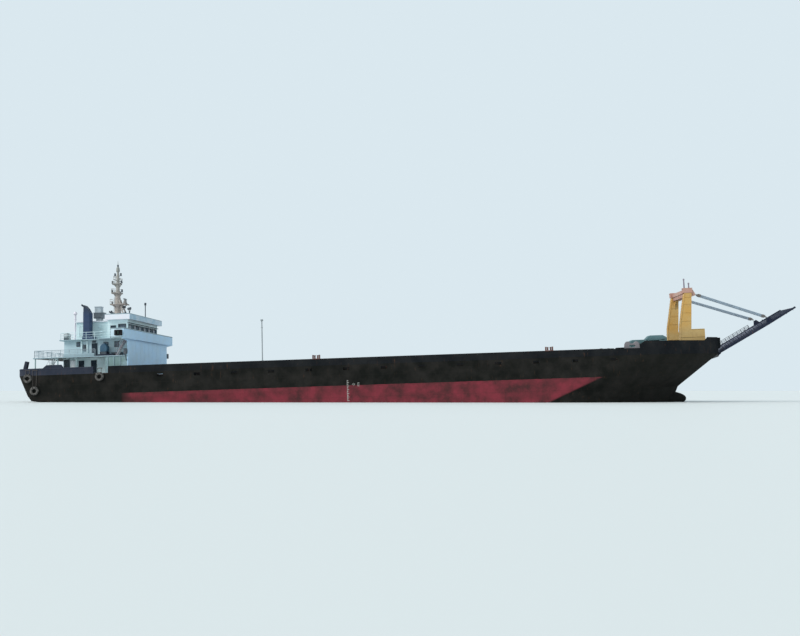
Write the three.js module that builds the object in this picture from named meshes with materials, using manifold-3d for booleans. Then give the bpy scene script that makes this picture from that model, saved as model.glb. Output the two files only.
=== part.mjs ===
// River barge with a bow ramp: a self-propelled deck barge, as a 1:10 scale model.
// Sizes are written in metres of the real vessel and turned into model millimetres when a mesh is made.
// +X is forward, +Y to port, +Z up. The origin is on the flat bottom, amidships, on the centreline.

import * as THREE from 'three';
import { mergeVertices } from 'three/addons/utils/BufferGeometryUtils.js';
import Module from 'manifold-3d';

const wasm = await Module();
wasm.setup();

// One metre of the real vessel in millimetres of the model, and the gap between pieces that touch.
const METRE = 100;
const gap = 0.3 / METRE;

// Hull and decks
const beamHalf = 9.0;
const wellFloor = 6.6;
const hullTop = 7.45;
const plateThick = 0.06;
const sideThick = 0.25;
const sideTop = 8.35;
const bowWallTop = 9.3;
const cheekTop = 9.75;
const wellAft = -34.35;
const slopeFoot = 34.6;
const slopeHead = 37.6;
const deckTop = hullTop + gap + plateThick;
const sideAft = -36.9;
const sideFore = 33.0;
const sternBulwarkFore = -39.0;
const sternBulwarkTop = 8.3;

// Deckhouse at the stern
const frontX = -34.46;
const frontThick = 0.12;
const houseFore = frontX - frontThick - gap;
const deckHalf = 8.0;
const wingHalf = 10.05;
const wingAft = -36.1;
const wingFore = -34.22;
const deck1Top = 9.95;
const deck2Top = 12.45;
const roofTop = 15.31;
const deckThick = 0.13;
const wallThick = 0.1;
const railHeight = 1.0;
const wheelhouseFore = -35.3;
const wheelhouseAft = -38.22;
const wheelhouseHalf = 6.0;

// Bow gantry and ramp
const legHalfGap = 2.75;
const legWidth = 0.6;
const legFore = 45.5;
const headUnder = 16.25;
const headTop = 16.9;
const rampPivot = { x: 48.95, z: 7.15 };
const rampLength = 13.1;
const rampHalf = 2.5;
const rampRaised = THREE.MathUtils.degToRad(28.4);
const rampLug = { u: 9.0, w: 1.05, y: 2.3 };

// Propellers and rudders
const shaftY = 4.5;
const shaftZ = 1.5;
const rudderStockX = -43.75;

const colours = {
  hullBlack: 0x242423, red: 0x6b3338, slate: 0x3c4150, deck: 0x5a4a44, white: 0xc8d2d6, shade: 0xa9bccb,
  glass: 0x26343c, funnel: 0x2f4460, mast: 0x96918a, yellow: 0xbd9448, head: 0xb59a90, ramp: 0x2a2e42,
  steel: 0x6d7a88, teal: 0x2f4a50, door: 0x2b3a4c, tank: 0x2c5f80, rubber: 0x1b1b1c, bronze: 0x9a7440,
};

function paint(colour, roughness = 0.7, metalness = 0.1) {
  return new THREE.MeshStandardMaterial({ color: colour, roughness, metalness });
}

// Small geometry helpers, all in metres

function box(x0, x1, y0, y1, z0, z1) {
  const shape = new THREE.BoxGeometry(x1 - x0, y1 - y0, z1 - z0);
  return shape.translate((x0 + x1) / 2, (y0 + y1) / 2, (z0 + z1) / 2);
}

// A flat outline drawn out along one axis. Along 'z' the outline is (x, y), along 'y' it is (x, z),
// and along 'x' it is (y, z).
function prism(outline, axis, from, to, holes = []) {
  const toVectors = (points) => points.map(([a, b]) => new THREE.Vector2(a, b));
  const shape = new THREE.Shape(toVectors(outline));
  for (const hole of holes) shape.holes.push(new THREE.Path(toVectors(hole)));
  const geometry = new THREE.ExtrudeGeometry(shape, { depth: to - from, bevelEnabled: false });
  const turn = new THREE.Matrix4();
  if (axis === 'y') {
    turn.makeBasis(new THREE.Vector3(1, 0, 0), new THREE.Vector3(0, 0, 1), new THREE.Vector3(0, -1, 0));
    return geometry.applyMatrix4(turn).translate(0, to, 0);
  }
  if (axis === 'x') {
    turn.makeBasis(new THREE.Vector3(0, 1, 0), new THREE.Vector3(0, 0, 1), new THREE.Vector3(1, 0, 0));
    return geometry.applyMatrix4(turn).translate(from, 0, 0);
  }
  return geometry.translate(0, 0, from);
}

function rectangle(x0, x1, y0, y1) {
  return [[x0, y0], [x1, y0], [x1, y1], [x0, y1]];
}

// A cylinder or cone between two heights on the named axis, through the point (a, b) of the other two axes.
function rod(axis, from, to, a, b, radius, sides = 16, radiusTo = radius) {
  const geometry = new THREE.CylinderGeometry(radiusTo, radius, to - from, sides);
  if (axis === 'x') {
    geometry.rotateZ(-Math.PI / 2);
    return geometry.translate((from + to) / 2, a, b);
  }
  if (axis === 'y') return geometry.translate(a, (from + to) / 2, b);
  geometry.rotateX(Math.PI / 2);
  return geometry.translate(a, b, (from + to) / 2);
}

function rodBetween(start, end, radius, sides = 8) {
  const from = new THREE.Vector3(...start);
  const along = new THREE.Vector3(...end).sub(from);
  const geometry = new THREE.CylinderGeometry(radius, radius, along.length(), sides);
  const direction = along.clone().normalize();
  const turn = new THREE.Quaternion().setFromUnitVectors(new THREE.Vector3(0, 1, 0), direction);
  geometry.applyQuaternion(turn);
  const middle = from.addScaledVector(along, 0.5);
  return geometry.translate(middle.x, middle.y, middle.z);
}

function mirrored(outline) {
  return outline.map(([x, y]) => [x, -y]).reverse();
}

// Joins and cuts of closed geometry

function toSolid(geometry) {
  const plain = geometry.clone();
  plain.deleteAttribute('normal');
  plain.deleteAttribute('uv');
  const merged = mergeVertices(plain, 1e-5);
  return new wasm.Manifold(new wasm.Mesh({
    numProp: 3,
    vertProperties: new Float32Array(merged.attributes.position.array),
    triVerts: new Uint32Array(merged.index.array),
  }));
}

function toGeometry(solid) {
  const mesh = solid.getMesh();
  const geometry = new THREE.BufferGeometry();
  geometry.setAttribute('position', new THREE.BufferAttribute(new Float32Array(mesh.vertProperties), 3));
  geometry.setIndex(new THREE.BufferAttribute(new Uint32Array(mesh.triVerts), 1));
  return geometry;
}

function join(pieces, cuts = []) {
  let solid = toSolid(pieces[0]);
  for (const piece of pieces.slice(1)) solid = solid.add(toSolid(piece));
  for (const cut of cuts) solid = solid.subtract(toSolid(cut));
  return toGeometry(solid);
}

function common(first, second) {
  return toGeometry(toSolid(first).intersect(toSolid(second)));
}

// The mesh is scaled to millimetres here. Its place is given in metres, like every other size.
function piece(parent, name, geometry, material, place = [0, 0, 0], turn = [0, 0, 0]) {
  const mesh = new THREE.Mesh(geometry.clone().scale(METRE, METRE, METRE), material);
  mesh.name = name;
  mesh.position.set(place[0] * METRE, place[1] * METRE, place[2] * METRE);
  mesh.rotation.set(...turn);
  parent.add(mesh);
  return mesh;
}

const barge = new THREE.Group();
const hullGroup = new THREE.Group();
const deckhouse = new THREE.Group();
const bow = new THREE.Group();
barge.add(hullGroup, deckhouse, bow);

// Hull form. Each level is a waterline: a stern with rounded corners, straight sides and a bow that
// narrows to a flat, raked stem face. The stern's underside rises to leave room for the propellers.
const hullLevels = [
  // height, half beam, aft end, corner length, corner width, taper start, stem, stem half width, fullness
  [0.0, 8.55, -33.0, 2.5, 2.0, 22.0, 41.2, 0.2, 1.8],
  [0.12, 8.82, -33.5, 2.6, 2.1, 22.2, 41.8, 0.3, 1.8],
  [0.35, beamHalf, -34.3, 2.8, 2.2, 22.5, 42.4, 0.4, 1.8],
  [1.6, beamHalf, -38.2, 3.6, 2.5, 23.5, 43.0, 0.4, 1.9],
  [3.0, beamHalf, -42.5, 4.2, 2.8, 25.5, 43.65, 0.4, 2.0],
  [3.5, beamHalf, -45.6, 3.4, 2.5, 26.7, 44.2, 0.75, 2.05],
  [3.9, beamHalf, -48.6, 2.3, 2.1, 27.6, 44.65, 1.05, 2.1],
  [4.6, beamHalf, -49.1, 2.1, 2.0, 29.0, 45.45, 1.5, 2.15],
  [6.6, beamHalf, -49.9, 1.8, 1.85, 32.2, 47.7, 2.9, 2.2],
  [hullTop, beamHalf, -50.2, 1.6, 1.8, sideFore, 48.7, 3.5, 2.2],
];
const cornerSteps = 6;
const bowSteps = 9;

// Starboard half of one waterline from aft to fore, moved inward by inset.
function halfWaterline(level, inset = 0) {
  const [, half, aft, cornerLength, cornerWidth, taper, stem, stemHalf, fullness] = level;
  const points = [];
  for (let step = 0; step <= cornerSteps; step++) {
    const angle = (step / cornerSteps) * Math.PI / 2;
    const x = aft + cornerLength - (cornerLength - inset) * Math.cos(angle);
    const y = half - cornerWidth + (cornerWidth - inset) * Math.sin(angle);
    points.push([x, -y]);
  }
  for (let step = 0; step <= bowSteps; step++) {
    const along = step / bowSteps;
    const width = stemHalf + (half - stemHalf) * (1 - along ** fullness);
    const slope = (half - stemHalf) * fullness * along ** (fullness - 1) / (stem - taper);
    const length = Math.hypot(1, slope);
    const x = taper + (stem - taper) * along - inset * slope / length;
    points.push([x, -(width - inset / length)]);
  }
  return points;
}

function waterline(level) {
  const half = halfWaterline(level);
  return half.concat(mirrored(half));
}

// Closed skin over rings that all have the same number of points.
function loft(rings, heights) {
  const count = rings[0].length;
  const positions = [];
  rings.forEach((ring, k) => ring.forEach(([x, y]) => positions.push(x, y, heights[k])));
  const index = [];
  for (let k = 0; k + 1 < rings.length; k++) {
    for (let i = 0; i < count; i++) {
      const low = k * count + i;
      const lowNext = k * count + (i + 1) % count;
      index.push(low, lowNext, lowNext + count, low, lowNext + count, low + count);
    }
  }
  const lid = (rings.length - 1) * count;
  for (let i = 1; i + 1 < count; i++) {
    index.push(0, i + 1, i);
    index.push(lid, lid + i, lid + i + 1);
  }
  const geometry = new THREE.BufferGeometry();
  geometry.setAttribute('position', new THREE.BufferAttribute(new Float32Array(positions), 3));
  geometry.setIndex(index);
  return geometry;
}

const topLevel = hullLevels[hullLevels.length - 1];
const bowCurve = halfWaterline(topLevel).slice(cornerSteps + 1);
const bowCurveInner = halfWaterline(topLevel, sideThick).slice(cornerSteps + 1);
const freeingPorts = [];
for (let x = -29.6; x < 33; x += 5.2) freeingPorts.push(x);

// The part of a bow curve that lies aft of x, ended exactly at x.
function curveUpTo(curve, x) {
  const next = curve.findIndex(([ahead]) => ahead >= x);
  const [[x0, y0], [x1, y1]] = [curve[next - 1], curve[next]];
  return [...curve.slice(0, next), [x, y0 + (y1 - y0) * (x - x0) / (x1 - x0)]];
}

function buildHull() {
  const body = loft(hullLevels.map(waterline), hullLevels.map(([z]) => z));
  const bulb = new THREE.SphereGeometry(1, 14, 10).scale(3.0, 0.95, 1.1).translate(41.85, 0, 1.25);
  const pieces = [body, bulb];
  const cuts = [];

  // The cargo well is open above, and its fore end slopes up to the foredeck.
  const plan = [[wellAft, -(beamHalf - sideThick)], ...curveUpTo(bowCurveInner, slopeHead)];
  const well = prism(plan.concat(mirrored(plan)), 'z', wellFloor, hullTop + 1);
  const above = hullTop + 1;
  const side = [[wellAft - 1, wellFloor], [slopeFoot, wellFloor], [slopeHead, hullTop], [slopeHead, above],
    [wellAft - 1, above]];
  cuts.push(common(well, prism(side, 'y', -beamHalf, beamHalf)));
  for (const x of freeingPorts) {
    cuts.push(box(x - 0.45, x + 0.45, -beamHalf - 0.5, beamHalf + 0.5, 6.72, 7.12));
  }

  // Each side has a skeg with the shaft boss in it, and a trunk above for the rudder stock.
  const skeg = [[-30, 0.05], [-40.6, 0.25], [-41.5, 0.9], [-41.6, 2.1], [-41.4, 3.4], [-30, 3.0]];
  for (const y of [-shaftY, shaftY]) {
    pieces.push(prism(skeg, 'y', y - 0.22, y + 0.22));
    pieces.push(rod('x', -41.7, -36.5, y, shaftZ, 0.45));
    cuts.push(rod('x', -42.0, -40.5, y, shaftZ, 0.2));
    cuts.push(rod('z', 2.5, 3.95, rudderStockX, y, 0.16));
  }
  return join(pieces, cuts);
}
piece(hullGroup, 'hull', buildHull(), paint(colours.hullBlack));

// Cargo deck: a flat plate between the stays of the side walls.
const cargoDeck = { aft: -33.9, fore: 34.5, half: 7.7, thick: 0.1 };
const deckPlate = box(cargoDeck.aft, cargoDeck.fore, -cargoDeck.half, cargoDeck.half,
  wellFloor + gap, wellFloor + gap + cargoDeck.thick);
piece(hullGroup, 'cargo_deck', deckPlate, paint(colours.deck));

// A pair of mooring posts on a foot plate.
function bollard(x, y) {
  const foot = box(x - 0.6, x + 0.6, y - 0.22, y + 0.22, deckTop - 0.03, deckTop + 0.06);
  const posts = [-0.35, 0.35].map((dx) => rod('z', deckTop, deckTop + 0.65, x + dx, y, 0.15, 10));
  return [foot, ...posts];
}

// Quarterdeck plating inside the stern bulwark.
function buildQuarterdeck() {
  const inset = 0.25;
  const half = halfWaterline(topLevel, inset).slice(0, cornerSteps + 1);
  const fore = wellAft - 0.05;
  half.push([fore, -(beamHalf - inset)]);
  const plate = prism(half.concat(mirrored(half)), 'z', hullTop + gap, deckTop);
  const bollards = [];
  for (const y of [-7.6, 7.6]) bollards.push(...bollard(-42.8, y));
  for (const y of [-4.2, 4.2]) bollards.push(...bollard(-48.7, y));
  return join([plate, ...bollards]);
}
piece(hullGroup, 'quarterdeck', buildQuarterdeck(), paint(colours.deck));

// Foredeck plating between the bow walls.
function buildForedeck() {
  const inset = sideThick + 0.02;
  const curve = halfWaterline(topLevel, inset).slice(cornerSteps + 1);
  const aft = slopeHead + 0.2;
  const plan = [[aft, -8.1], ...curve.filter(([x]) => x > aft + 0.3)];
  plan[plan.length - 1][0] = 48.4;
  const plate = prism(plan.concat(mirrored(plan)), 'z', hullTop + gap, deckTop);
  return join([plate, ...bollard(44.4, -5.2), ...bollard(44.4, 5.2)]);
}
piece(hullGroup, 'foredeck', buildForedeck(), paint(colours.deck));

// Side walls of the cargo space, with a cap rail and stays that stand on the well's floor.
function buildSideWall() {
  const inner = beamHalf - sideThick;
  const stayProfile = [[inner - gap, wellFloor + gap], [inner - 0.85, wellFloor + gap],
    [inner - 0.85, wellFloor + 0.1], [inner - 0.15, sideTop - 0.1], [inner + 0.1, sideTop - 0.1],
    [inner + 0.1, hullTop + gap], [inner - gap, hullTop + gap]];
  const wall = box(sideAft, sideFore - gap, inner, beamHalf, hullTop + gap, sideTop);
  const cap = box(sideAft, sideFore - gap, inner - 0.12, beamHalf, sideTop - 0.08, sideTop);
  const stays = [];
  for (let x = -32.2; x < sideFore; x += 5.2) stays.push(prism(stayProfile, 'x', x - 0.05, x + 0.05));
  return join([wall, cap, ...stays]);
}
const sideWall = buildSideWall();
piece(hullGroup, 'side_wall_port', sideWall, paint(colours.hullBlack));
piece(hullGroup, 'side_wall_stbd', toGeometry(toSolid(sideWall).mirror([0, 1, 0])), paint(colours.hullBlack));

// Bow walls follow the deck's edge, rise in two steps and turn in beside the ramp opening, where a short
// cheek plate runs forward past the stem.
function buildBowWall() {
  const outer = bowCurve.map(([x, y]) => [x, y]);
  const inner = bowCurveInner.map(([x, y]) => [x, y]);
  inner[inner.length - 1] = [topLevel[6] - sideThick, -(topLevel[7] - 0.15)];
  const cheek = [[topLevel[6], -legHalfGap], [topLevel[6] - sideThick, -legHalfGap]];
  const plan = prism([...outer, ...cheek, ...inner.reverse()], 'z', hullTop + gap, cheekTop);
  const profile = [[sideFore, hullTop], [49.5, hullTop], [49.5, cheekTop], [46.9, cheekTop],
    [46.4, bowWallTop], [37.2, bowWallTop], [35.5, sideTop], [sideFore, sideTop]];
  const wall = common(plan, prism(profile, 'y', -beamHalf - 1, 0));
  const ear = [[48.55, 7.9], [49.2, 8.3], [49.2, cheekTop - 0.05], [48.55, cheekTop - 0.05]];
  return join([wall, prism(ear, 'y', -3.1, -legHalfGap - 0.01)]);
}
const bowWall = buildBowWall();
piece(hullGroup, 'bow_wall_stbd', bowWall, paint(colours.hullBlack));
piece(hullGroup, 'bow_wall_port', toGeometry(toSolid(bowWall).mirror([0, 1, 0])), paint(colours.hullBlack));

// Stern bulwark around the quarterdeck, with a raised chock on each quarter and two slanted roller posts.
function buildSternBulwark() {
  const thick = 0.22;
  const outer = halfWaterline(topLevel).slice(0, cornerSteps + 1);
  const inner = halfWaterline(topLevel, thick).slice(0, cornerSteps + 1);
  outer.push([sternBulwarkFore, -beamHalf]);
  inner.push([sternBulwarkFore, -(beamHalf - thick)]);
  const strip = [...mirrored(outer), ...outer, ...inner.slice().reverse(), ...mirrored(inner).reverse()];
  const wall = prism(strip, 'z', hullTop + gap, sternBulwarkTop);
  const extras = [];
  const chock = [[-46.6, 8.1], [-43.1, 8.1], [-43.6, 8.85], [-45.7, 8.85]];
  const roller = [[-50.16, 7.9], [-49.7, 7.9], [-49.35, 9.5], [-49.75, 9.6]];
  for (const side of [-1, 1]) {
    const [near, far] = [side * (beamHalf - thick), side * beamHalf].sort((a, b) => a - b);
    extras.push(prism(chock, 'y', near, far));
    const [low, high] = [side * 6.6, side * 7.1].sort((a, b) => a - b);
    extras.push(prism(roller, 'y', low, high));
  }
  return join([wall, ...extras]);
}
piece(hullGroup, 'stern_bulwark', buildSternBulwark(), paint(colours.slate));

// Tyre fenders hang flat against the hull side.
const tyre = { outer: 0.62, inner: 0.3, half: 0.13 };

function tyreGeometry() {
  const { outer, inner, half } = tyre;
  const section = [[inner, -half], [outer - 0.08, -half], [outer, -half * 0.5], [outer, half * 0.5],
    [outer - 0.08, half], [inner, half], [inner, -half]];
  return new THREE.LatheGeometry(section.map(([r, h]) => new THREE.Vector2(r, h)), 18);
}

const fenderPlaces = [
  // name, x, height
  ['quarter_upper', -48.3, 7.05],
  ['quarter_lower', -47.3, 5.3],
  ['side', -38.05, 7.0],
];
for (const [label, x, z] of fenderPlaces) {
  for (const side of [-1, 1]) {
    const name = `fender_${label}_${side < 0 ? 'stbd' : 'port'}`;
    piece(hullGroup, name, tyreGeometry(), paint(colours.rubber, 0.9, 0),
      [x, side * (beamHalf + tyre.half + gap), z]);
  }
}

// Doors are outward-opening steel leaves on the outside of a side wall. Each leaf has its hinge barrel
// on its fore edge, between two lugs that belong to the wall.
const door = { width: 0.72, height: 1.8, thick: 0.05, barrel: 0.045, lug: 0.07 };
const doorPlaces = [
  // tier, centre of the doorway in x, half width of the house, sill height
  ['tier1_aft', -41.8, 6.6, deckTop + 0.12],
  ['tier1_fore', -40.0, 6.6, deckTop + 0.12],
  ['tier2', -40.0, 6.4, deck1Top + 0.12],
  ['wheelhouse', -37.45, wheelhouseHalf, deck2Top + 0.12],
];

function doorway([, x, half, sill]) {
  return [-1, 1].map((side) => box(x - door.width / 2 + 0.06, x + door.width / 2 - 0.06,
    side * half - 0.3, side * half + 0.3, sill + 0.06, sill + door.height - 0.06));
}

function doorHinge([, x, half, sill]) {
  return { x: x + door.width / 2 + door.barrel + 0.01, y: half + gap + door.thick + 0.01, low: sill };
}

function doorLugs(place) {
  const hinge = doorHinge(place);
  const lugs = [];
  for (const side of [-1, 1]) {
    const [inner, outer] = [side * (place[2] - 0.02), side * (hinge.y + door.barrel)].sort((a, b) => a - b);
    for (const z of [hinge.low - gap - door.lug, hinge.low + door.height + gap]) {
      lugs.push(box(hinge.x - door.barrel, hinge.x + door.barrel, inner, outer, z, z + door.lug));
    }
  }
  return lugs;
}

function buildDoor(side) {
  const reach = door.width + door.barrel + 0.01;
  const [y0, y1] = [side * -(door.thick + 0.01), side * -0.01].sort((a, b) => a - b);
  const leaf = box(-reach, -0.02, y0, y1, 0, door.height);
  return join([leaf, rod('z', 0, door.height, 0, 0, door.barrel, 10)]);
}

for (const place of doorPlaces) {
  for (const side of [-1, 1]) {
    const hinge = doorHinge(place);
    piece(deckhouse, `door_${place[0]}_${side < 0 ? 'stbd' : 'port'}`, buildDoor(side), paint(colours.door),
      [hinge.x, side * hinge.y, hinge.low]);
  }
}

// A storey's outer walls, open above and below, with its doorways and windows cut.
function storey(aft, fore, half, low, high, doors, windows = []) {
  const hole = rectangle(aft + wallThick, fore - wallThick, -half + wallThick, half - wallThick);
  const walls = prism(rectangle(aft, fore, -half, half), 'z', low, high, [hole]);
  return join([walls, ...doors.flatMap(doorLugs)], [...doors.flatMap(doorway), ...windows]);
}

const houseAft = -44.4;
const tier1Top = deck1Top - deckThick - gap;
const tier2Top = deck2Top - deckThick - gap;
const tier1 = storey(houseAft, houseFore, 6.6, deckTop + gap, tier1Top, doorPlaces.slice(0, 2));
piece(deckhouse, 'tier1_house', tier1, paint(colours.white));

const tier2 = storey(houseAft, houseFore, 6.4, deck1Top + gap, tier2Top, doorPlaces.slice(2, 3));
piece(deckhouse, 'tier2_house', tier2, paint(colours.white));

const roofUnder = roofTop - deckThick;
const casingHalf = 3.9;
const casing = storey(-43.75, wheelhouseAft - gap, casingHalf, deck2Top + gap, roofUnder - gap, []);
piece(deckhouse, 'tier3_casing', casing, paint(colours.white));

// Wheelhouse windows: six in front and one on each side, all in one band.
const band = { low: 13.58, high: 14.48 };

function wheelhouseWindows() {
  const cuts = [];
  const count = 6;
  const pitch = (2 * wheelhouseHalf - 0.5) / count;
  for (let i = 0; i < count; i++) {
    const y = (i - (count - 1) / 2) * pitch;
    cuts.push(box(wheelhouseFore - 0.3, wheelhouseFore + 0.3, y - pitch / 2 + 0.14, y + pitch / 2 - 0.14,
      band.low, band.high));
  }
  cuts.push(box(-36.6, -35.6, -wheelhouseHalf - 0.3, wheelhouseHalf + 0.3, band.low, band.high));
  return cuts;
}
const wheelhouse = storey(wheelhouseAft, wheelhouseFore, wheelhouseHalf, deck2Top + gap, roofUnder - gap,
  doorPlaces.slice(3), wheelhouseWindows());
piece(deckhouse, 'wheelhouse', wheelhouse, paint(colours.white));

// One ribbon of glass behind the window band.
function buildGlass() {
  const outer = wheelhouseHalf - wallThick - gap;
  const inner = outer - 0.04;
  const fore = wheelhouseFore - wallThick - gap;
  const aft = -36.75;
  const plan = [[aft, -outer], [fore, -outer], [fore, outer], [aft, outer], [aft, inner], [fore - 0.04, inner],
    [fore - 0.04, -inner], [aft, -inner]];
  return prism(plan, 'z', band.low - 0.08, band.high + 0.08);
}
piece(deckhouse, 'wheelhouse_glass', buildGlass(), paint(colours.glass, 0.1, 0.2));

// Front screen of the deckhouse: one plate over both tiers, a soffit forward of it with the bridge wings'
// bulwark on top, a short return along each side and a sidelight box outside each wing.
function buildFrontScreen() {
  const top = 13.6;
  const soffit = 12.2;
  const outline = [[-deckHalf, deckTop + gap], [deckHalf, deckTop + gap], [deckHalf, 11.9], [wingHalf, soffit],
    [wingHalf, soffit + 0.1], [-wingHalf, soffit + 0.1], [-wingHalf, soffit], [-deckHalf, 11.9]];
  const pieces = [
    prism(outline, 'x', frontX - frontThick, frontX),
    box(frontX - frontThick, wingFore, -wingHalf, wingHalf, soffit, deck2Top - deckThick - gap),
    box(wingFore - 0.1, wingFore, -wingHalf, wingHalf, soffit, top),
  ];
  for (const side of [-1, 1]) {
    const [y0, y1] = [side * deckHalf, side * (deckHalf - 0.1)].sort((a, b) => a - b);
    pieces.push(box(-37.7, frontX - 0.02, y0, y1, deckTop + gap, tier1Top));
    const [w0, w1] = [side * wingHalf, side * (wingHalf - 0.1)].sort((a, b) => a - b);
    pieces.push(box(wingAft, wingFore - 0.02, w0, w1, deck2Top + gap, top));
    const [l0, l1] = [side * (wingHalf - 0.02), side * (wingHalf + 0.25)].sort((a, b) => a - b);
    pieces.push(box(-35.4, -34.45, l0, l1, 12.6, 13.3));
  }
  return join(pieces);
}
piece(deckhouse, 'front_screen', buildFrontScreen(), paint(colours.shade));

// A steep stair between two decks: two stringers and flat treads, climbing forward.
function stair(footX, headX, y, low, high) {
  const width = 0.7;
  const depth = 0.22;
  const pieces = [];
  const stringer = [[footX, low], [footX + depth, low], [headX + depth, high], [headX, high]];
  for (const dy of [-width / 2, width / 2 - 0.05]) pieces.push(prism(stringer, 'y', y + dy, y + dy + 0.05));
  const treads = 8;
  for (let i = 1; i <= treads; i++) {
    const share = i / (treads + 1);
    const x = footX + (headX - footX) * share;
    const z = low + (high - low) * share;
    pieces.push(box(x, x + depth, y - width / 2 + 0.02, y + width / 2 - 0.02, z - 0.03, z));
  }
  return pieces;
}

// Deck 1: plate over the first tier, on pillars round its open stern, with a stair down on each side.
function buildDeck1() {
  const aft = -48.05;
  const under = deck1Top - deckThick;
  const stairHead = -45.3;
  const plate = box(aft, houseFore, -deckHalf, deckHalf, under, deck1Top);
  const pieces = [plate];
  const cuts = [];
  for (const side of [-1, 1]) {
    for (const x of [-47.85, -44.6, -41.95]) {
      const y = side * 7.85;
      pieces.push(box(x - 0.06, x + 0.06, y - 0.06, y + 0.06, deckTop + gap, under + 0.02));
    }
    cuts.push(box(stairHead - 1.1, stairHead, side * 7.0 - 0.4, side * 7.0 + 0.4, under - 0.1, deck1Top + 0.1));
  }
  for (const y of [-2.7, 2.7]) {
    pieces.push(box(-47.91, -47.79, y - 0.06, y + 0.06, deckTop + gap, under + 0.02));
  }
  let solid = toSolid(join(pieces, cuts));
  for (const side of [-1, 1]) {
    for (const part of stair(stairHead - 1.45, stairHead - 0.1, side * 7.0, deckTop + gap, deck1Top - 0.01)) {
      solid = solid.add(toSolid(part));
    }
  }
  return toGeometry(solid);
}
piece(deckhouse, 'deck1', buildDeck1(), paint(colours.white));

// Deck 2: plate over the second tier, widened in two steps to the bridge wings, with a stair on each side.
const deck2 = { aft: -44.75, half: 7.0, stepX: -38.6 };

function buildDeck2() {
  const under = deck2Top - deckThick;
  const stairHead = -34.95;
  const wing = wingHalf - 0.1 - gap;
  const fore = wingFore - 0.1 - gap;
  const edge = [[deck2.aft, -deck2.half], [deck2.stepX, -deck2.half], [deck2.stepX, -deckHalf],
    [wingAft, -deckHalf], [wingAft, -wing], [fore, -wing]];
  const cuts = [];
  for (const side of [-1, 1]) {
    cuts.push(box(stairHead - 1.1, stairHead, side * 7.3 - 0.4, side * 7.3 + 0.4, under - 0.1, deck2Top + 0.1));
  }
  let solid = toSolid(join([prism(edge.concat(mirrored(edge)), 'z', under, deck2Top)], cuts));
  for (const side of [-1, 1]) {
    for (const part of stair(stairHead - 1.45, stairHead - 0.1, side * 7.3, deck1Top + gap, deck2Top - 0.01)) {
      solid = solid.add(toSolid(part));
    }
  }
  return toGeometry(solid);
}
piece(deckhouse, 'deck2', buildDeck2(), paint(colours.white));

// Guard rail along straight runs of a deck's edge: square posts with a top and a middle rail. The path is the
// starboard half from its fore end to the centreline.
function railing(path, deckHeight) {
  const postHalf = 0.035;
  const railHalf = 0.022;
  const bay = 2.2;
  const low = deckHeight + gap;
  const corners = path.concat(mirrored(path));
  const pieces = [];
  for (let k = 0; k + 1 < corners.length; k++) {
    const [[x0, y0], [x1, y1]] = [corners[k], corners[k + 1]];
    const bays = Math.max(1, Math.round(Math.hypot(x1 - x0, y1 - y0) / bay));
    for (let i = k === 0 ? 0 : 1; i <= bays; i++) {
      const [x, y] = [x0 + (x1 - x0) * i / bays, y0 + (y1 - y0) * i / bays];
      pieces.push(box(x - postHalf, x + postHalf, y - postHalf, y + postHalf, low, low + railHeight));
    }
    for (const height of [0.5, railHeight - 0.06]) {
      pieces.push(box(Math.min(x0, x1) - railHalf, Math.max(x0, x1) + railHalf, Math.min(y0, y1) - railHalf,
        Math.max(y0, y1) + railHalf, low + height - railHalf, low + height + railHalf));
    }
  }
  return join(pieces);
}
piece(deckhouse, 'deck1_railing', railing([[-39.2, -7.92], [-47.95, -7.92]], deck1Top), paint(colours.white));
const deck2Path = [[-36.25, -7.92], [-38.5, -7.92], [-38.5, -6.92], [-44.65, -6.92]];
piece(deckhouse, 'deck2_railing', railing(deck2Path, deck2Top), paint(colours.white));

// Roof over casing and wheelhouse, with a parapet round the fore part and a signal post at its edge.
function buildRoof() {
  const fore = -34.75;
  const step = -38.4;
  const roofHalf = 6.6;
  const narrow = 4.15;
  const parapetTop = 15.97;
  const parapetThick = 0.08;
  const plan = [[-44.0, -narrow], [step, -narrow], [step, -roofHalf], [fore, -roofHalf], [fore, roofHalf],
    [step, roofHalf], [step, narrow], [-44.0, narrow]];
  const parapet = [[step, -roofHalf], [fore, -roofHalf], [fore, roofHalf], [step, roofHalf],
    [step, roofHalf - parapetThick], [fore - parapetThick, roofHalf - parapetThick],
    [fore - parapetThick, -roofHalf + parapetThick], [step, -roofHalf + parapetThick]];
  return join([
    prism(plan, 'z', roofUnder, roofTop),
    prism(parapet, 'z', roofTop - 0.02, parapetTop),
    rod('z', roofTop - 0.02, 17.9, fore - 0.2, 0, 0.06, 8),
    rod('z', 17.85, 18.2, fore - 0.2, 0, 0.14, 8),
  ]);
}
piece(deckhouse, 'roof', buildRoof(), paint(colours.white));

// Mast: a stout tapered post with two fore stays of tube, three platforms, a yard and a thin topmast.
const mastX = -39.17;
const scanner = { x: mastX + 1.1, z: 18.75, half: 0.55 };

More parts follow.
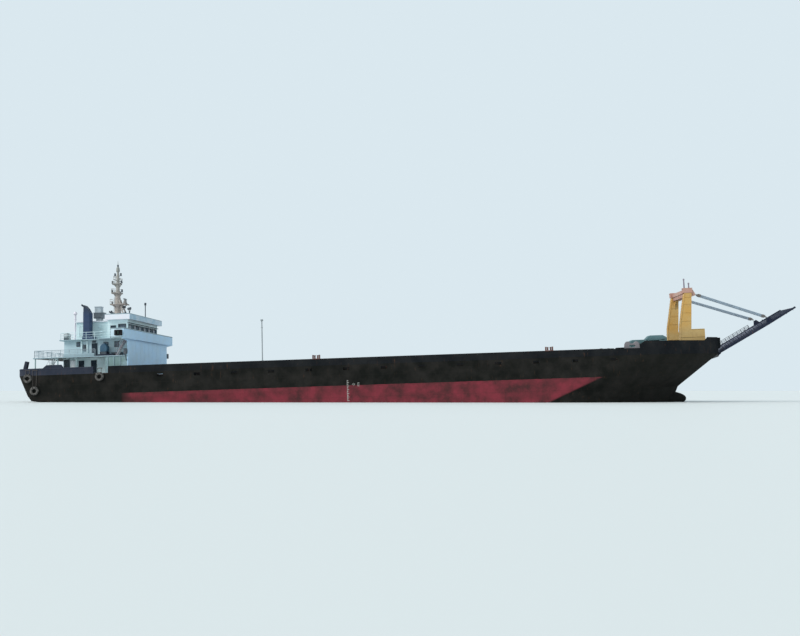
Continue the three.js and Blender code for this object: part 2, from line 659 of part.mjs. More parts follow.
function buildMast() {
  const foot = roofTop + gap;
  const pieces = [
    rod('z', foot, 20.2, mastX, 0, 0.52, 12, 0.32),
    rod('z', 20.1, 22.6, mastX, 0, 0.26, 12, 0.2),
    rod('z', 22.5, 24.0, mastX, 0, 0.14, 8),
    rod('z', 23.9, 24.8, mastX, 0, 0.06, 8),
    rod('z', foot, foot + 0.12, mastX, 0, 0.8, 12),
    box(mastX - 0.85, mastX + 1.4, -0.9, 0.9, 18.05, 18.15),
    box(mastX - 0.75, mastX + 0.5, -0.65, 0.65, 19.8, 19.92),
    box(mastX - 0.7, mastX + 0.45, -0.45, 0.45, 21.2, 21.28),
    box(mastX - 0.08, mastX + 0.08, -1.7, 1.7, 21.7, 21.82),
    rod('z', 18.1, scanner.z - 0.05, scanner.x, 0, 0.2, 10),
  ];
  for (const side of [-1, 1]) {
    pieces.push(box(mastX + 1.3, mastX + 1.7, side * 0.95 - 0.2, side * 0.95 + 0.2, foot, foot + 0.1));
    pieces.push(rodBetween([mastX + 1.5, side * 0.95, foot + 0.05], [mastX, 0, 19.6], 0.12));
  }
  return join(pieces, [rod('z', scanner.z - 0.35, scanner.z, scanner.x, 0, 0.08, 16)]);
}
piece(deckhouse, 'mast', buildMast(), paint(colours.mast));

// Radar scanner: a flat bar on a spindle that stands in the pedestal's bore.
function buildScanner() {
  return join([
    box(-0.09, 0.09, -scanner.half, scanner.half, 0.05, 0.25),
    rod('z', -0.3, 0.1, 0, 0, 0.07, 16),
  ]);
}
piece(deckhouse, 'radar_scanner', buildScanner(), paint(colours.white), [scanner.x, 0, scanner.z]);

// Roof ventilator: a stem, a dark body and a grey hood.
function buildVentilator() {
  return join([
    box(-41.1, -40.3, -3.35, -2.65, roofTop + gap, 15.85),
    box(-41.4, -39.95, -3.5, -2.5, 15.75, 16.62),
    box(-41.25, -40.35, -3.45, -2.55, 16.58, 17.5),
  ]);
}
piece(deckhouse, 'roof_ventilator', buildVentilator(), paint(colours.steel));

// Funnels stand on deck 2 beside the casing. The top slopes down forward, with an exhaust pipe in it.
function buildFunnel() {
  const halfLength = 0.55;
  const halfWidth = 0.5;
  const corner = 0.2;
  const plan = [];
  for (const [sx, sy, start] of [[1, 1, 0], [-1, 1, 1], [-1, -1, 2], [1, -1, 3]]) {
    for (let i = 0; i <= 3; i++) {
      const angle = (start + i / 3) * Math.PI / 2;
      plan.push([sx * (halfLength - corner) + corner * Math.cos(angle),
        sy * (halfWidth - corner) + corner * Math.sin(angle)]);
    }
  }
  const low = deck2Top + gap;
  const profile = [[-1, low], [1, low], [1, 16.2], [0.4, 16.5], [0.1, 17.05], [-0.3, 17.5], [-1, 17.78]];
  const shell = common(prism(plan, 'z', low, 18), prism(profile, 'y', -1, 1));
  const footHalf = halfWidth + 0.08;
  const foot = box(-halfLength - 0.05, halfLength + 0.4, -footHalf, footHalf, low, low + 0.55);
  const pipe = rodBetween([-0.2, 0, 17.1], [-0.95, 0, 17.65], 0.13, 12);
  return join([shell, foot, pipe]);
}
const funnel = buildFunnel();
for (const side of [-1, 1]) {
  piece(deckhouse, `funnel_${side < 0 ? 'stbd' : 'port'}`, funnel, paint(colours.funnel),
    [-41.6, side * 4.9, 0]);
}

// Water tank with a domed top on its stand, on deck 1 to starboard.
const tank = { x: -38.15, y: -7.2, half: 0.54, reach: 0.46 };

function buildTankStand() {
  const low = deck1Top + gap;
  return join([
    box(tank.x - 0.85, tank.x + 1.45, tank.y - 0.55, tank.y + 0.55, low, low + 0.25),
    box(tank.x - 0.5, tank.x - 0.36, tank.y - 0.42, tank.y + 0.42, low + 0.2, low + 0.6),
    box(tank.x + 0.36, tank.x + 0.5, tank.y - 0.42, tank.y + 0.42, low + 0.2, low + 0.6),
  ]);
}
piece(deckhouse, 'tank_stand', buildTankStand(), paint(colours.slate));

function buildTank() {
  const low = deck1Top + 0.6 + 2 * gap;
  const shoulder = low + 0.45;
  const outline = [[-tank.half + 0.08, low], [tank.half - 0.08, low], [tank.half, shoulder]];
  for (let i = 1; i < 6; i++) {
    const angle = (i / 6) * Math.PI;
    outline.push([tank.half * Math.cos(angle), shoulder + 0.74 * Math.sin(angle)]);
  }
  outline.push([-tank.half, shoulder]);
  return prism(outline, 'y', -tank.reach, tank.reach).translate(tank.x, tank.y, 0);
}
piece(deckhouse, 'water_tank', buildTank(), paint(colours.tank, 0.5, 0));

// Bow gantry legs stand on the foredeck and taper upward. A yellow web widens the foot of each leg.
function buildLeg() {
  const low = deckTop + gap;
  const baseTop = 11.0;
  const outline = [[43.5, low], [47.0, low], [47.0, baseTop], [legFore - 0.35, baseTop],
    [legFore, headUnder - gap], [44.6, headUnder - gap], [43.75, 11.6]];
  return prism(outline, 'y', -legWidth / 2, legWidth / 2);
}
const legCentre = legHalfGap + legWidth / 2;
for (const side of [-1, 1]) {
  piece(bow, `gantry_leg_${side < 0 ? 'stbd' : 'port'}`, buildLeg(), paint(colours.yellow),
    [0, side * legCentre, 0]);
}

// Head of the gantry: a cap on each leg with a sheave cheek forward, joined by a beam.
const tackleTop = { x: 46.1, y: 3.0, z: 16.02 };

function buildGantryHead() {
  const beamFore = 45.3;
  const near = legFore + 0.03;
  const { x: tipX, z: tipZ } = tackleTop;
  const cheek = [[near, tipZ - 0.35], [tipX, tipZ - 0.17], [tipX, tipZ + 0.17],
    [45.75, headTop - 0.12], [near, headTop - 0.12]];
  const pieces = [box(44.6, beamFore, -legHalfGap - 0.2, legHalfGap + 0.2, headUnder, headUnder + 0.5),
    box(44.7, beamFore, -legHalfGap + 0.05, legHalfGap - 0.05, headUnder - 0.5, headUnder + 0.1)];
  for (const side of [-1, 1]) {
    const [y0, y1] = [side * (legHalfGap - 0.05), side * (legHalfGap + legWidth + 0.05)]
      .sort((a, b) => a - b);
    pieces.push(box(44.4, 45.65, y0, y1, headUnder, headTop));
    pieces.push(prism(cheek, 'y', side * tackleTop.y - 0.12, side * tackleTop.y + 0.12));
  }
  pieces.push(rod('z', headTop - 0.02, 18.3, 44.65, -legCentre, 0.05, 8));
  pieces.push(rod('z', headTop - 0.02, 17.7, 45.3, -legCentre, 0.05, 8));
  return join(pieces);
}
piece(bow, 'gantry_head', buildGantryHead(), paint(colours.head));

// Winches beside the passage: bed, drum between two flanges, gear case and a guard on top.
function buildWinch() {
  const low = deckTop + gap;
  return join([
    box(-1.6, 1.6, -0.8, 0.8, low, low + 0.25),
    box(-1.5, -0.2, -0.7, 0.7, low + 0.2, 9.7),
    rod('y', -0.62, 0.62, 0.75, 8.9, 0.45, 14),
    box(0.2, 1.3, -0.75, -0.62, low + 0.2, 9.9),
    box(0.2, 1.3, 0.62, 0.75, low + 0.2, 9.9),
    box(-1.5, 1.3, -0.75, 0.75, 9.65, 10.2),
  ]);
}
for (const side of [-1, 1]) {
  piece(bow, `ramp_winch_${side < 0 ? 'stbd' : 'port'}`, buildWinch(), paint(colours.teal),
    [39.7, side * 5.0, 0]);
}

// Ramp hinge: four brackets on the raked stem face carry one long pin.
const pin = { radius: 0.09, boss: 0.15, bore: 0.097 };
const bracketPlaces = [-2.3, -0.77, 0.77, 2.3];

function buildRampHinge() {
  const { x, z } = rampPivot;
  const off = 0.006;
  const bracket = [[47.75 + off, 6.6425 - off], [48.55 + off, 7.3225 - off], [x, z + pin.boss],
    [x + pin.boss * 0.87, z + pin.boss * 0.5], [x + pin.boss * 0.87, z - pin.boss * 0.5], [x, z - pin.boss]];
  const pieces = [rod('y', -2.45, 2.45, x, z, pin.radius)];
  for (const y of bracketPlaces) pieces.push(prism(bracket, 'y', y - 0.14, y + 0.14));
  return join(pieces);
}
piece(bow, 'ramp_hinge', buildRampHinge(), paint(colours.steel));

// Ramp, drawn level from its pivot: u runs out to the tip, w is up. Shallow girders and cross beams under a
// deck plate, kerbs along both edges, lugs for the hoisting tackles and arms down to the pin.
function buildRamp() {
  const root = 0.35;
  const deckLow = 0.3;
  const deckHigh = 0.38;
  const girder = [[root, deckHigh - 0.02], [root, 0.14], [8.5, 0.14], [rampLength, 0.26],
    [rampLength, deckHigh - 0.02]];
  const pieces = [box(root, rampLength, -rampHalf, rampHalf, deckLow, deckHigh)];
  for (const y of [-2.42, -1.21, 0, 1.21, 2.42]) pieces.push(prism(girder, 'y', y - 0.07, y + 0.07));
  for (const u of [0.6, 3.1, 5.6, 8.1, 10.6, 12.8]) {
    const low = u > 9 ? 0.25 : 0.17;
    pieces.push(box(u - 0.06, u + 0.06, -rampHalf + 0.05, rampHalf - 0.05, low, deckLow + 0.02));
  }
  for (const side of [-1, 1]) {
    const [k0, k1] = [side * rampHalf, side * (rampHalf - 0.12)].sort((a, b) => a - b);
    pieces.push(box(0.6, rampLength, k0, k1, deckHigh - 0.02, deckHigh + 0.08));
    const lug = [[rampLug.u - 0.6, deckHigh - 0.02], [rampLug.u + 0.5, deckHigh - 0.02],
      [rampLug.u + 0.16, rampLug.w], [rampLug.u - 0.2, rampLug.w]];
    pieces.push(prism(lug, 'y', side * rampLug.y - 0.09, side * rampLug.y + 0.09));
  }
  const cuts = [rod('y', -3, 3, 0, 0, pin.bore)];
  const armTop = deckLow + 0.02;
  const arm = [[-0.02, -0.15], [0.7, 0.0], [0.7, armTop], [root, armTop], [-0.02, 0.15]];
  for (const y of [-1.535, 0, 1.535]) {
    pieces.push(rod('y', y - 0.5, y + 0.5, 0, 0, pin.boss + 0.02));
    pieces.push(prism(arm, 'y', y - 0.48, y + 0.48));
  }
  return join(pieces, cuts);
}
piece(bow, 'ramp', buildRamp(), paint(colours.ramp), [rampPivot.x, 0, rampPivot.z], [0, -rampRaised, 0]);

// Hoisting tackles from the gantry head to the ramp lugs: an upper block, the falls and a lower block.
function buildTackle(length) {
  const section = [[0, 0], [0.16, 0], [0.22, 0.15], [0.22, 0.75], [0.13, 0.95], [0.13, length - 1.0],
    [0.24, length - 0.8], [0.24, length - 0.2], [0.16, length], [0, length]];
  return new THREE.LatheGeometry(section.map(([r, h]) => new THREE.Vector2(r, h)), 10);
}
for (const side of [-1, 1]) {
  const upper = new THREE.Vector3(tackleTop.x + gap, side * tackleTop.y, tackleTop.z);
  const lower = new THREE.Vector3(
    rampPivot.x + rampLug.u * Math.cos(rampRaised) - rampLug.w * Math.sin(rampRaised),
    side * rampLug.y,
    rampPivot.z + rampLug.u * Math.sin(rampRaised) + rampLug.w * Math.cos(rampRaised));
  const along = lower.clone().sub(upper);
  const topClear = 0.058;
  const lowClear = 0.17;
  const direction = along.clone().normalize();
  const start = upper.clone().addScaledVector(direction, topClear);
  const mesh = piece(bow, `hoist_tackle_${side < 0 ? 'stbd' : 'port'}`,
    buildTackle(along.length() - topClear - lowClear), paint(colours.steel), start.toArray());
  mesh.quaternion.setFromUnitVectors(new THREE.Vector3(0, 1, 0), direction);
}

// Light pole on the starboard side wall, forward of the deckhouse.
const poleGeometry = join([
  rod('z', sideTop + gap, 14.0, -15.2, -8.86, 0.07, 8),
  rod('z', sideTop + gap, sideTop + 0.1, -15.2, -8.86, 0.12, 8),
  box(-15.35, -15.05, -9.0, -8.7, 13.95, 14.16),
]);
piece(hullGroup, 'light_pole', poleGeometry, paint(colours.steel));

// Propellers: four blades on a hub, with the end of the shaft that runs in the boss.
function buildPropeller() {
  const hub = [[0, 0.42], [0.36, 0.42], [0.36, -0.2], [0.2, -0.5], [0, -0.6]];
  const hubProfile = hub.slice().reverse().map(([r, h]) => new THREE.Vector2(r, h));
  const pieces = [
    new THREE.LatheGeometry(hubProfile, 16).rotateZ(-Math.PI / 2),
    rod('x', 0.3, 1.55, 0, 0, 0.19),
  ];
  const blade = [[-0.14, 0.25], [0.14, 0.25], [0.36, 0.6], [0.42, 0.85], [0.3, 1.08], [0.0, 1.19],
    [-0.3, 1.08], [-0.42, 0.85], [-0.36, 0.6]];
  for (let i = 0; i < 4; i++) {
    const shape = prism(blade, 'x', -0.04, 0.04).rotateZ(THREE.MathUtils.degToRad(38));
    pieces.push(shape.rotateX(i * Math.PI / 2));
  }
  return join(pieces);
}
const propeller = buildPropeller();
const propellerX = -42.22;

// Rudders: a faired blade below a stock that stands in the hull's trunk.
function buildRudder() {
  const blade = [[0.55, 0], [0.45, 0.1], [0.15, 0.16], [-0.4, 0.13], [-1.45, 0.02], [-1.45, -0.02],
    [-0.4, -0.13], [0.15, -0.16], [0.45, -0.1]];
  return join([prism(blade, 'z', 0.35, 2.85), rod('z', 2.8, 3.8, 0, 0, 0.152)]);
}
const rudder = buildRudder();
for (const side of [-1, 1]) {
  const label = side < 0 ? 'stbd' : 'port';
  piece(hullGroup, `propeller_${label}`, propeller, paint(colours.bronze, 0.4, 0.8),
    [propellerX, side * shaftY, shaftZ]);
  piece(hullGroup, `rudder_${label}`, rudder, paint(colours.red), [rudderStockX, side * shaftY, 0]);
}

export default barge;
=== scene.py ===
"""River deck barge with a bow ramp, a 1:10 scale model of a real vessel about 99 m long.

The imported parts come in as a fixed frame. Sizes are in metres of the model, +X is forward, +Y is to port and
+Z is up, with the origin on the flat bottom amidships.
"""

import math

import bpy
from mathutils import Matrix, Vector


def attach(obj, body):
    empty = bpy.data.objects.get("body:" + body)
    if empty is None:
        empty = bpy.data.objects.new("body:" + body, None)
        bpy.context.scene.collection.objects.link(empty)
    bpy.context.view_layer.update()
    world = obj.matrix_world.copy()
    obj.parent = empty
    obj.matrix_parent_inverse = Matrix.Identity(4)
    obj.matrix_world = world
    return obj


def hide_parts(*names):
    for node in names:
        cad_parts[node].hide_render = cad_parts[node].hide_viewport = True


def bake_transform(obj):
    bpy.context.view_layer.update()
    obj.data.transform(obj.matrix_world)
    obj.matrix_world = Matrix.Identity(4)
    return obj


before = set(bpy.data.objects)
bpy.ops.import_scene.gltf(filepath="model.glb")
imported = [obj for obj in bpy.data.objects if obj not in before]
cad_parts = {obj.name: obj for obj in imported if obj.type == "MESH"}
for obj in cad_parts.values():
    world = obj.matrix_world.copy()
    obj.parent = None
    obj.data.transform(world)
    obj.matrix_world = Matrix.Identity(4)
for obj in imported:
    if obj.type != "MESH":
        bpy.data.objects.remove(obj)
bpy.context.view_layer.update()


# Camera, water level and light
# The vessel lies trimmed by the stern, so the water's plane is tilted in the vessel's own frame. The camera
# stands close above the water, off the starboard side, and looks slightly up and to the left.
TRIM = 0.032951
DRAUGHT = 0.218547
afloat = Matrix.Rotation(TRIM, 4, "Y") @ Matrix.Translation((0, 0, DRAUGHT))


def place_in_scene(name, data, place=Matrix()):
    piece = bpy.data.objects.new(name, data)
    piece.matrix_world = place
    bpy.context.scene.collection.objects.link(piece)
    return piece


def primitive(operator, **settings):
    """A new primitive with its place and turn put into its mesh."""
    bpy.ops.object.select_all(action="DESELECT")
    operator(**settings)
    bpy.ops.object.transform_apply(location=True, rotation=True, scale=True)
    return bpy.context.object


def feed(node, inputs):
    """Gives a shader node its plain values, and links the sockets among them."""
    for key, value in inputs.items():
        socket = node.inputs[key]
        if isinstance(value, bpy.types.NodeSocket):
            node.id_data.links.new(value, socket)
        else:
            socket.default_value = (*value, 1.0) if socket.type == "RGBA" else value


def new_material(name, values):
    """A material with plain values on its shader. Gives both."""
    material = bpy.data.materials.new(name)
    material.use_nodes = True
    shader = material.node_tree.nodes["Principled BSDF"]
    feed(shader, values)
    return material, shader


camera_data = bpy.data.cameras.new("camera")
camera_data.sensor_width = 36.0
camera_data.lens = 35.55
camera_data.clip_start = 0.05
camera_data.clip_end = 1500.0
camera_place = Matrix.Translation((0.87, -11.72, 0.16318))
camera_turn = Matrix.Rotation(0.047244, 4, "Z") @ Matrix.Rotation(math.radians(90.0 + 5.243), 4, "X")
bpy.context.scene.camera = place_in_scene("camera", camera_data, afloat @ camera_place @ camera_turn)

floor = primitive(bpy.ops.mesh.primitive_plane_add, size=900.0)
floor.name = "studio_floor"
floor.data.transform(afloat)
floor_paint, _ = new_material("pale_floor", {"Base Color": (0.6, 0.63, 0.63), "Roughness": 0.6})
floor.data.materials.append(floor_paint)

world = bpy.data.worlds.new("studio")
world.use_nodes = True
feed(world.node_tree.nodes["Background"], {"Color": (0.74, 0.85, 0.91), "Strength": 0.95})
bpy.context.scene.world = world
bpy.context.scene.view_settings.view_transform = "Standard"

key_data = bpy.data.lights.new("key_light", "SUN")
key_data.energy = 2.4
key_data.angle = math.radians(35.0)
key_data.color = (1.0, 0.97, 0.92)
key_turn = Vector((-0.75, -0.55, 0.8)).to_track_quat("Z", "Y")
place_in_scene("key_light", key_data, key_turn.to_matrix().to_4x4())


# Hull
# A welded steel hull of flat plates: flat bottom, upright sides, a raked stem with a bulb under it, and a
# stern that is cut up for the propellers. It is lofted from waterlines, then the cargo well is cut into it.
hull_levels = [
    # height, half beam, aft end, corner length, corner width, taper start, stem, stem half width, fullness
    (0.000, 0.855, -3.30, 0.25, 0.20, 2.20, 4.120, 0.020, 1.8),
    (0.012, 0.882, -3.35, 0.26, 0.21, 2.22, 4.180, 0.030, 1.8),
    (0.035, 0.900, -3.43, 0.28, 0.22, 2.25, 4.240, 0.040, 1.8),
    (0.160, 0.900, -3.82, 0.36, 0.25, 2.35, 4.300, 0.040, 1.9),
    (0.300, 0.900, -4.25, 0.42, 0.28, 2.55, 4.365, 0.040, 2.0),
    (0.350, 0.900, -4.56, 0.34, 0.25, 2.67, 4.420, 0.075, 2.05),
    (0.390, 0.900, -4.86, 0.23, 0.21, 2.76, 4.465, 0.105, 2.1),
    (0.460, 0.900, -4.91, 0.21, 0.20, 2.90, 4.545, 0.150, 2.15),
    (0.660, 0.900, -4.99, 0.18, 0.185, 3.22, 4.770, 0.290, 2.2),
    (0.745, 0.900, -5.02, 0.16, 0.18, 3.30, 4.870, 0.350, 2.2),
]
CORNER_STEPS, BOW_STEPS = 14, 36
HULL_TOP, WELL_FLOOR = 0.745, 0.66
HALF_BEAM, SIDE_PLATE = 0.9, 0.025
WELL_AFT, SLOPE_FOOT, SLOPE_HEAD = -3.435, 3.46, 3.76
SHAFT_Y, SHAFT_Z = 0.45, 0.15
SIDES = (("stbd", -1), ("port", 1))
RUST = (0.19, 0.085, 0.04)


def half_waterline(level, inset=0.0):
    """Starboard half of one waterline from aft to fore, moved inward by inset."""
    _, half, aft, corner_length, corner_width, taper, stem, stem_half, fullness = level
    points = []
    for step in range(CORNER_STEPS + 1):
        angle = step / CORNER_STEPS * math.pi / 2
        points.append((aft + corner_length - (corner_length - inset) * math.cos(angle),
                       corner_width - half - (corner_width - inset) * math.sin(angle)))
    for step in range(BOW_STEPS + 1):
        along = step / BOW_STEPS
        width = stem_half + (half - stem_half) * (1 - along ** fullness)
        slope = (half - stem_half) * fullness * along ** (fullness - 1) / (stem - taper)
        length = math.hypot(1, slope)
        points.append((taper + (stem - taper) * along - inset * slope / length, inset / length - width))
    return points


def whole_outline(half):
    return half + [(x, -y) for x, y in reversed(half)]


def between_levels(height):
    """The waterline's numbers at any height, read between the two nearest levels."""
    for low, high in zip(hull_levels, hull_levels[1:]):
        if low[0] <= height <= high[0]:
            share = (height - low[0]) / (high[0] - low[0])
            return tuple(a + (b - a) * share for a, b in zip(low, high))
    return hull_levels[-1]


def curve_between(curve, aft, fore):
    """Points of a bow curve from aft to fore, with the two end points read off the curve."""
    def half_at(x):
        for (x0, y0), (x1, y1) in zip(curve, curve[1:]):
            if x0 <= x <= x1:
                return y0 + (y1 - y0) * (x - x0) / (x1 - x0)
        return curve[0][1]
    inside = [(x, y) for x, y in curve if aft + 0.01 < x < fore - 0.01]
    return [(aft, half_at(aft)), *inside, (fore, half_at(fore))]


def mesh_piece(name, vertices, faces):
    data = bpy.data.meshes.new(name)
    data.from_pydata(vertices, [], faces)
    return place_in_scene(name, data)


def loft(name, rows):
    """Closed skin over rows of (x, y, z) points that all have the same count."""
    count = len(rows[0])
    faces = [tuple(reversed(range(count)))]
    for start in range(0, (len(rows) - 1) * count, count):
        faces += [(start + i, start + (i + 1) % count, start + count + (i + 1) % count, start + count + i)
                  for i in range(count)]
    faces.append(tuple(range((len(rows) - 1) * count, len(rows) * count)))
    return mesh_piece(name, [point for row in rows for point in row], faces)


def select_only(piece):
    bpy.ops.object.select_all(action="DESELECT")
    piece.select_set(True)
    bpy.context.view_layer.objects.active = piece


def outward(piece):
    """Turns the faces of a closed piece outward."""
    select_only(piece)
    bpy.ops.object.mode_set(mode="EDIT")
    bpy.ops.mesh.select_all(action="SELECT")
    bpy.ops.mesh.normals_make_consistent(inside=False)
    bpy.ops.object.mode_set(mode="OBJECT")
    return piece


def modify(piece, kind, **settings):
    """Adds one modifier and applies it."""
    select_only(piece)
    modifier = piece.modifiers.new(kind.title(), kind)
    for key, value in settings.items():
        setattr(modifier, key, value)
    bpy.ops.object.modifier_apply(modifier=modifier.name)
    return piece


def rounded(piece, width, segments=2):
    return modify(piece, "BEVEL", width=width, segments=segments) if width else piece


def combine(piece, other, operation="DIFFERENCE"):
    """Cuts one closed piece with another, or joins them. The other is used up."""
    modify(piece, "BOOLEAN", object=other, operation=operation, solver="EXACT")
    bpy.data.objects.remove(other)
    return piece


def box(corner, opposite, rounding=0.0, segments=2):
    """A block between two opposite corners, with its edges rounded."""
    low, high = zip(*[sorted(pair) for pair in zip(corner, opposite)])
    block = primitive(bpy.ops.mesh.primitive_cube_add, size=1.0,
                      location=[(a + b) / 2 for a, b in zip(low, high)],
                      scale=[b - a for a, b in zip(low, high)])
    return rounded(block, rounding, segments)


def bar(start, end, radius, sides=12, end_radius=None):
    """A round bar or a cone between two points."""
    start, end = Vector(start), Vector(end)
    return primitive(bpy.ops.mesh.primitive_cone_add, vertices=sides, radius1=radius,
                     radius2=radius if end_radius is None else end_radius, depth=(end - start).length,
                     location=(start + end) / 2, rotation=(end - start).to_track_quat("Z", "Y").to_euler())


def upright(x, y, low, high, radius, sides=12, top_radius=None):
    return bar((x, y, low), (x, y, high), radius, sides, top_radius)


def plate(outline, axis, low, high, rounding=0.0):
    """A flat plate: an outline in the two other axes, drawn out along one axis."""
    count = len(outline)
    vertices = [{"x": (c, a, b), "y": (a, c, b), "z": (a, b, c)}[axis]
                for c in (low, high) for a, b in outline]
    faces = [tuple(range(count)), tuple(range(count, 2 * count))]
    faces += [(i, (i + 1) % count, count + (i + 1) % count, count + i) for i in range(count)]
    return rounded(outward(mesh_piece("plate", vertices, faces)), rounding)


def build(name, parts, material, slot, *replaced, body="vessel", degrees=35.0, at=(0, 0, 0)):
    """Joins closed parts into one piece, shades it smooth up to some degrees and moves it to its place.
    It gets its finish, the body it moves with and the frame parts it stands for. Its slot is not used."""
    bpy.ops.object.select_all(action="DESELECT")
    for part in parts:
        part.select_set(True)
    bpy.context.view_layer.objects.active = parts[0]
    if len(parts) > 1:
        bpy.ops.object.join()
    piece = bpy.context.object
    piece.name = piece.data.name = name
    if degrees:
        bpy.ops.object.shade_smooth_by_angle(angle=math.radians(degrees))
    piece.data.transform(at if isinstance(at, Matrix) else Matrix.Translation(at))
    piece.data.materials.clear()
    piece.data.materials.append(material)
    if body:
        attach(piece, body)
    if replaced:
        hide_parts(*replaced)
    return piece


def add_node(near, kind, inputs, **settings):
    """One shader node in the tree of a node or socket, with its input values and its settings."""
    node = near.id_data.nodes.new(kind)
    for key, value in settings.items():
        setattr(node, key, value)
    feed(node, inputs)
    return node


def blend_colours(share, first, second):
    """Mixes two colours, each a tuple or a socket, by a share between 0 and 1."""
    return add_node(share, "ShaderNodeMix", {0: share, 6: first, 7: second}, data_type="RGBA").outputs[2]


def band_of(value, low, high):
    """0 below low, 1 above high, and a straight rise between them."""
    limits = {"Value": value, "From Min": low, "From Max": high}
    return add_node(value, "ShaderNodeMapRange", limits).outputs[0]


def maths(operation, first, *others):
    numbers = dict(enumerate((first, *others)))
    return add_node(first, "ShaderNodeMath", numbers, operation=operation).outputs[0]


def product(first, *others):
    for other in others:
        first = maths("MULTIPLY", first, other)
    return first


def blotches(position, size, detail=5.0, stretch=(1.0, 1.0, 1.0)):
    """Cloudy noise with spots of about the given size in metres, stretched along the axes."""
    scale = [1 / (size * share) for share in stretch]
    scaled = add_node(position, "ShaderNodeMapping", {"Vector": position, "Scale": scale}).outputs[0]
    noise = {"Vector": scaled, "Scale": 1.0, "Detail": detail, "Roughness": 0.6}
    return add_node(position, "ShaderNodeTexNoise", noise).outputs["Fac"]


def bump_of(height, strength, depth):
    relief = {"Height": height, "Strength": strength, "Distance": depth}
    return add_node(height, "ShaderNodeBump", relief).outputs[0]


def painted_steel(name, coat, faded, rust=0.3, roughness=0.5, shine=0.3, seams=None, seam_axes=(0, 2)):
    """Brushed or sprayed paint on steel: faded clouds, rust that runs down, and welded plate seams. The
    coat is one colour, or a function that gives it. The seams are (plate length, plate height)."""
    material, shader = new_material(name, {"Specular IOR Level": shine})
    position = add_node(shader, "ShaderNodeTexCoord", {}).outputs["Object"]
    axes = add_node(position, "ShaderNodeSeparateXYZ", {0: position}).outputs
    clouds = band_of(blotches(position, 0.22), 0.38, 0.66)
    height = blotches(position, 0.006, 3.0)
    colour = blend_colours(product(clouds, 0.75), coat(position, *axes) if callable(coat) else coat, faded)
    runs = band_of(blotches(position, 0.02, 4.0, (1.0, 1.0, 14.0)), 0.62 - 0.12 * rust, 0.8)
    patches = band_of(blotches(position, 0.09, 6.0), 0.5, 0.72)
    colour = blend_colours(product(runs, patches, min(1.0, rust * 1.6)), colour, RUST)
    spots = band_of(blotches(position, 0.012, 2.0), 0.7, 0.76)
    colour = blend_colours(product(spots, rust * 0.7), colour, RUST)
    if seams:
        flat = add_node(position, "ShaderNodeCombineXYZ", {k: axes[axis] for k, axis in enumerate(seam_axes)})
        weld = add_node(position, "ShaderNodeTexBrick", {
            "Vector": flat.outputs[0], "Scale": 1.0, "Mortar Size": 0.0025, "Mortar Smooth": 0.6,
            "Brick Width": seams[0], "Row Height": seams[1]}).outputs["Fac"]
        colour = blend_colours(product(weld, 0.35), colour, faded)
        height = maths("MULTIPLY_ADD", weld, 2.0, height)
    gloss = add_node(position, "ShaderNodeMapRange", {
        "Value": blotches(position, 0.05), "To Min": roughness - 0.1, "To Max": roughness + 0.2}).outputs[0]
    feed(shader, {"Base Color": colour, "Normal": bump_of(height, 0.35, 0.0015), "Roughness": gloss})
    return material


def hull_coats(position, x, y, z):
    """Black topsides, red between the load line and the water amidships, and red everywhere under water."""
    wobble = product(blotches(position, 0.05), 0.012)
    level = maths("ADD", z, wobble)
    behind_bow = band_of(maths("MULTIPLY_ADD", x, -0.436, z), -0.905, -0.88)
    ahead_of_stern = band_of(maths("ADD", x, wobble), -3.5, -3.36)
    band = product(band_of(level, 0.47, 0.466), ahead_of_stern, behind_bow)
    under_water = band_of(maths("MULTIPLY_ADD", x, TRIM, level), DRAUGHT - 0.006, DRAUGHT - 0.012)
    black = blend_colours(band_of(x, 2.9, 3.8), (0.0068, 0.0076, 0.0066), (0.0125, 0.013, 0.011))
    return blend_colours(maths("MAXIMUM", band, under_water), black, (0.2, 0.033, 0.046))


hull_heights = []
for (low, *_), (high, *_) in zip(hull_levels, hull_levels[1:]):
    layers = max(1, round((high - low) / 0.04))
    hull_heights += [low + (high - low) * k / layers for k in range(layers)]
hull = loft("hull_shell", [[(x, y, z) for x, y in whole_outline(half_waterline(between_levels(z)))]
                           for z in [*hull_heights, HULL_TOP]])

# The well has a flat floor and a sloped fore end. Freeing ports let water off the deck through the sides.
inner_curve = half_waterline(hull_levels[-1], SIDE_PLATE)[CORNER_STEPS + 1:]
well_half = [(WELL_AFT, SIDE_PLATE - HALF_BEAM)] + curve_between(inner_curve, 3.3, SLOPE_FOOT)
combine(hull, plate(whole_outline(well_half), "z", WELL_FLOOR, HULL_TOP + 0.1))
rise = (HULL_TOP - WELL_FLOOR) / (SLOPE_HEAD - SLOPE_FOOT)
slope = whole_outline(curve_between(inner_curve, SLOPE_FOOT - 0.001, SLOPE_HEAD))
combine(hull, loft("slope_cut", [[(x, y, WELL_FLOOR + rise * max(0, x - SLOPE_FOOT)) for x, y in slope],
                                 [(x, y, HULL_TOP + 0.1) for x, y in slope]]))
for port_x in [-2.96 + 0.52 * k for k in range(13)]:
    combine(hull, box((port_x - 0.045, -HALF_BEAM - 0.05, 0.672), (port_x + 0.045, HALF_BEAM + 0.05, 0.712)))

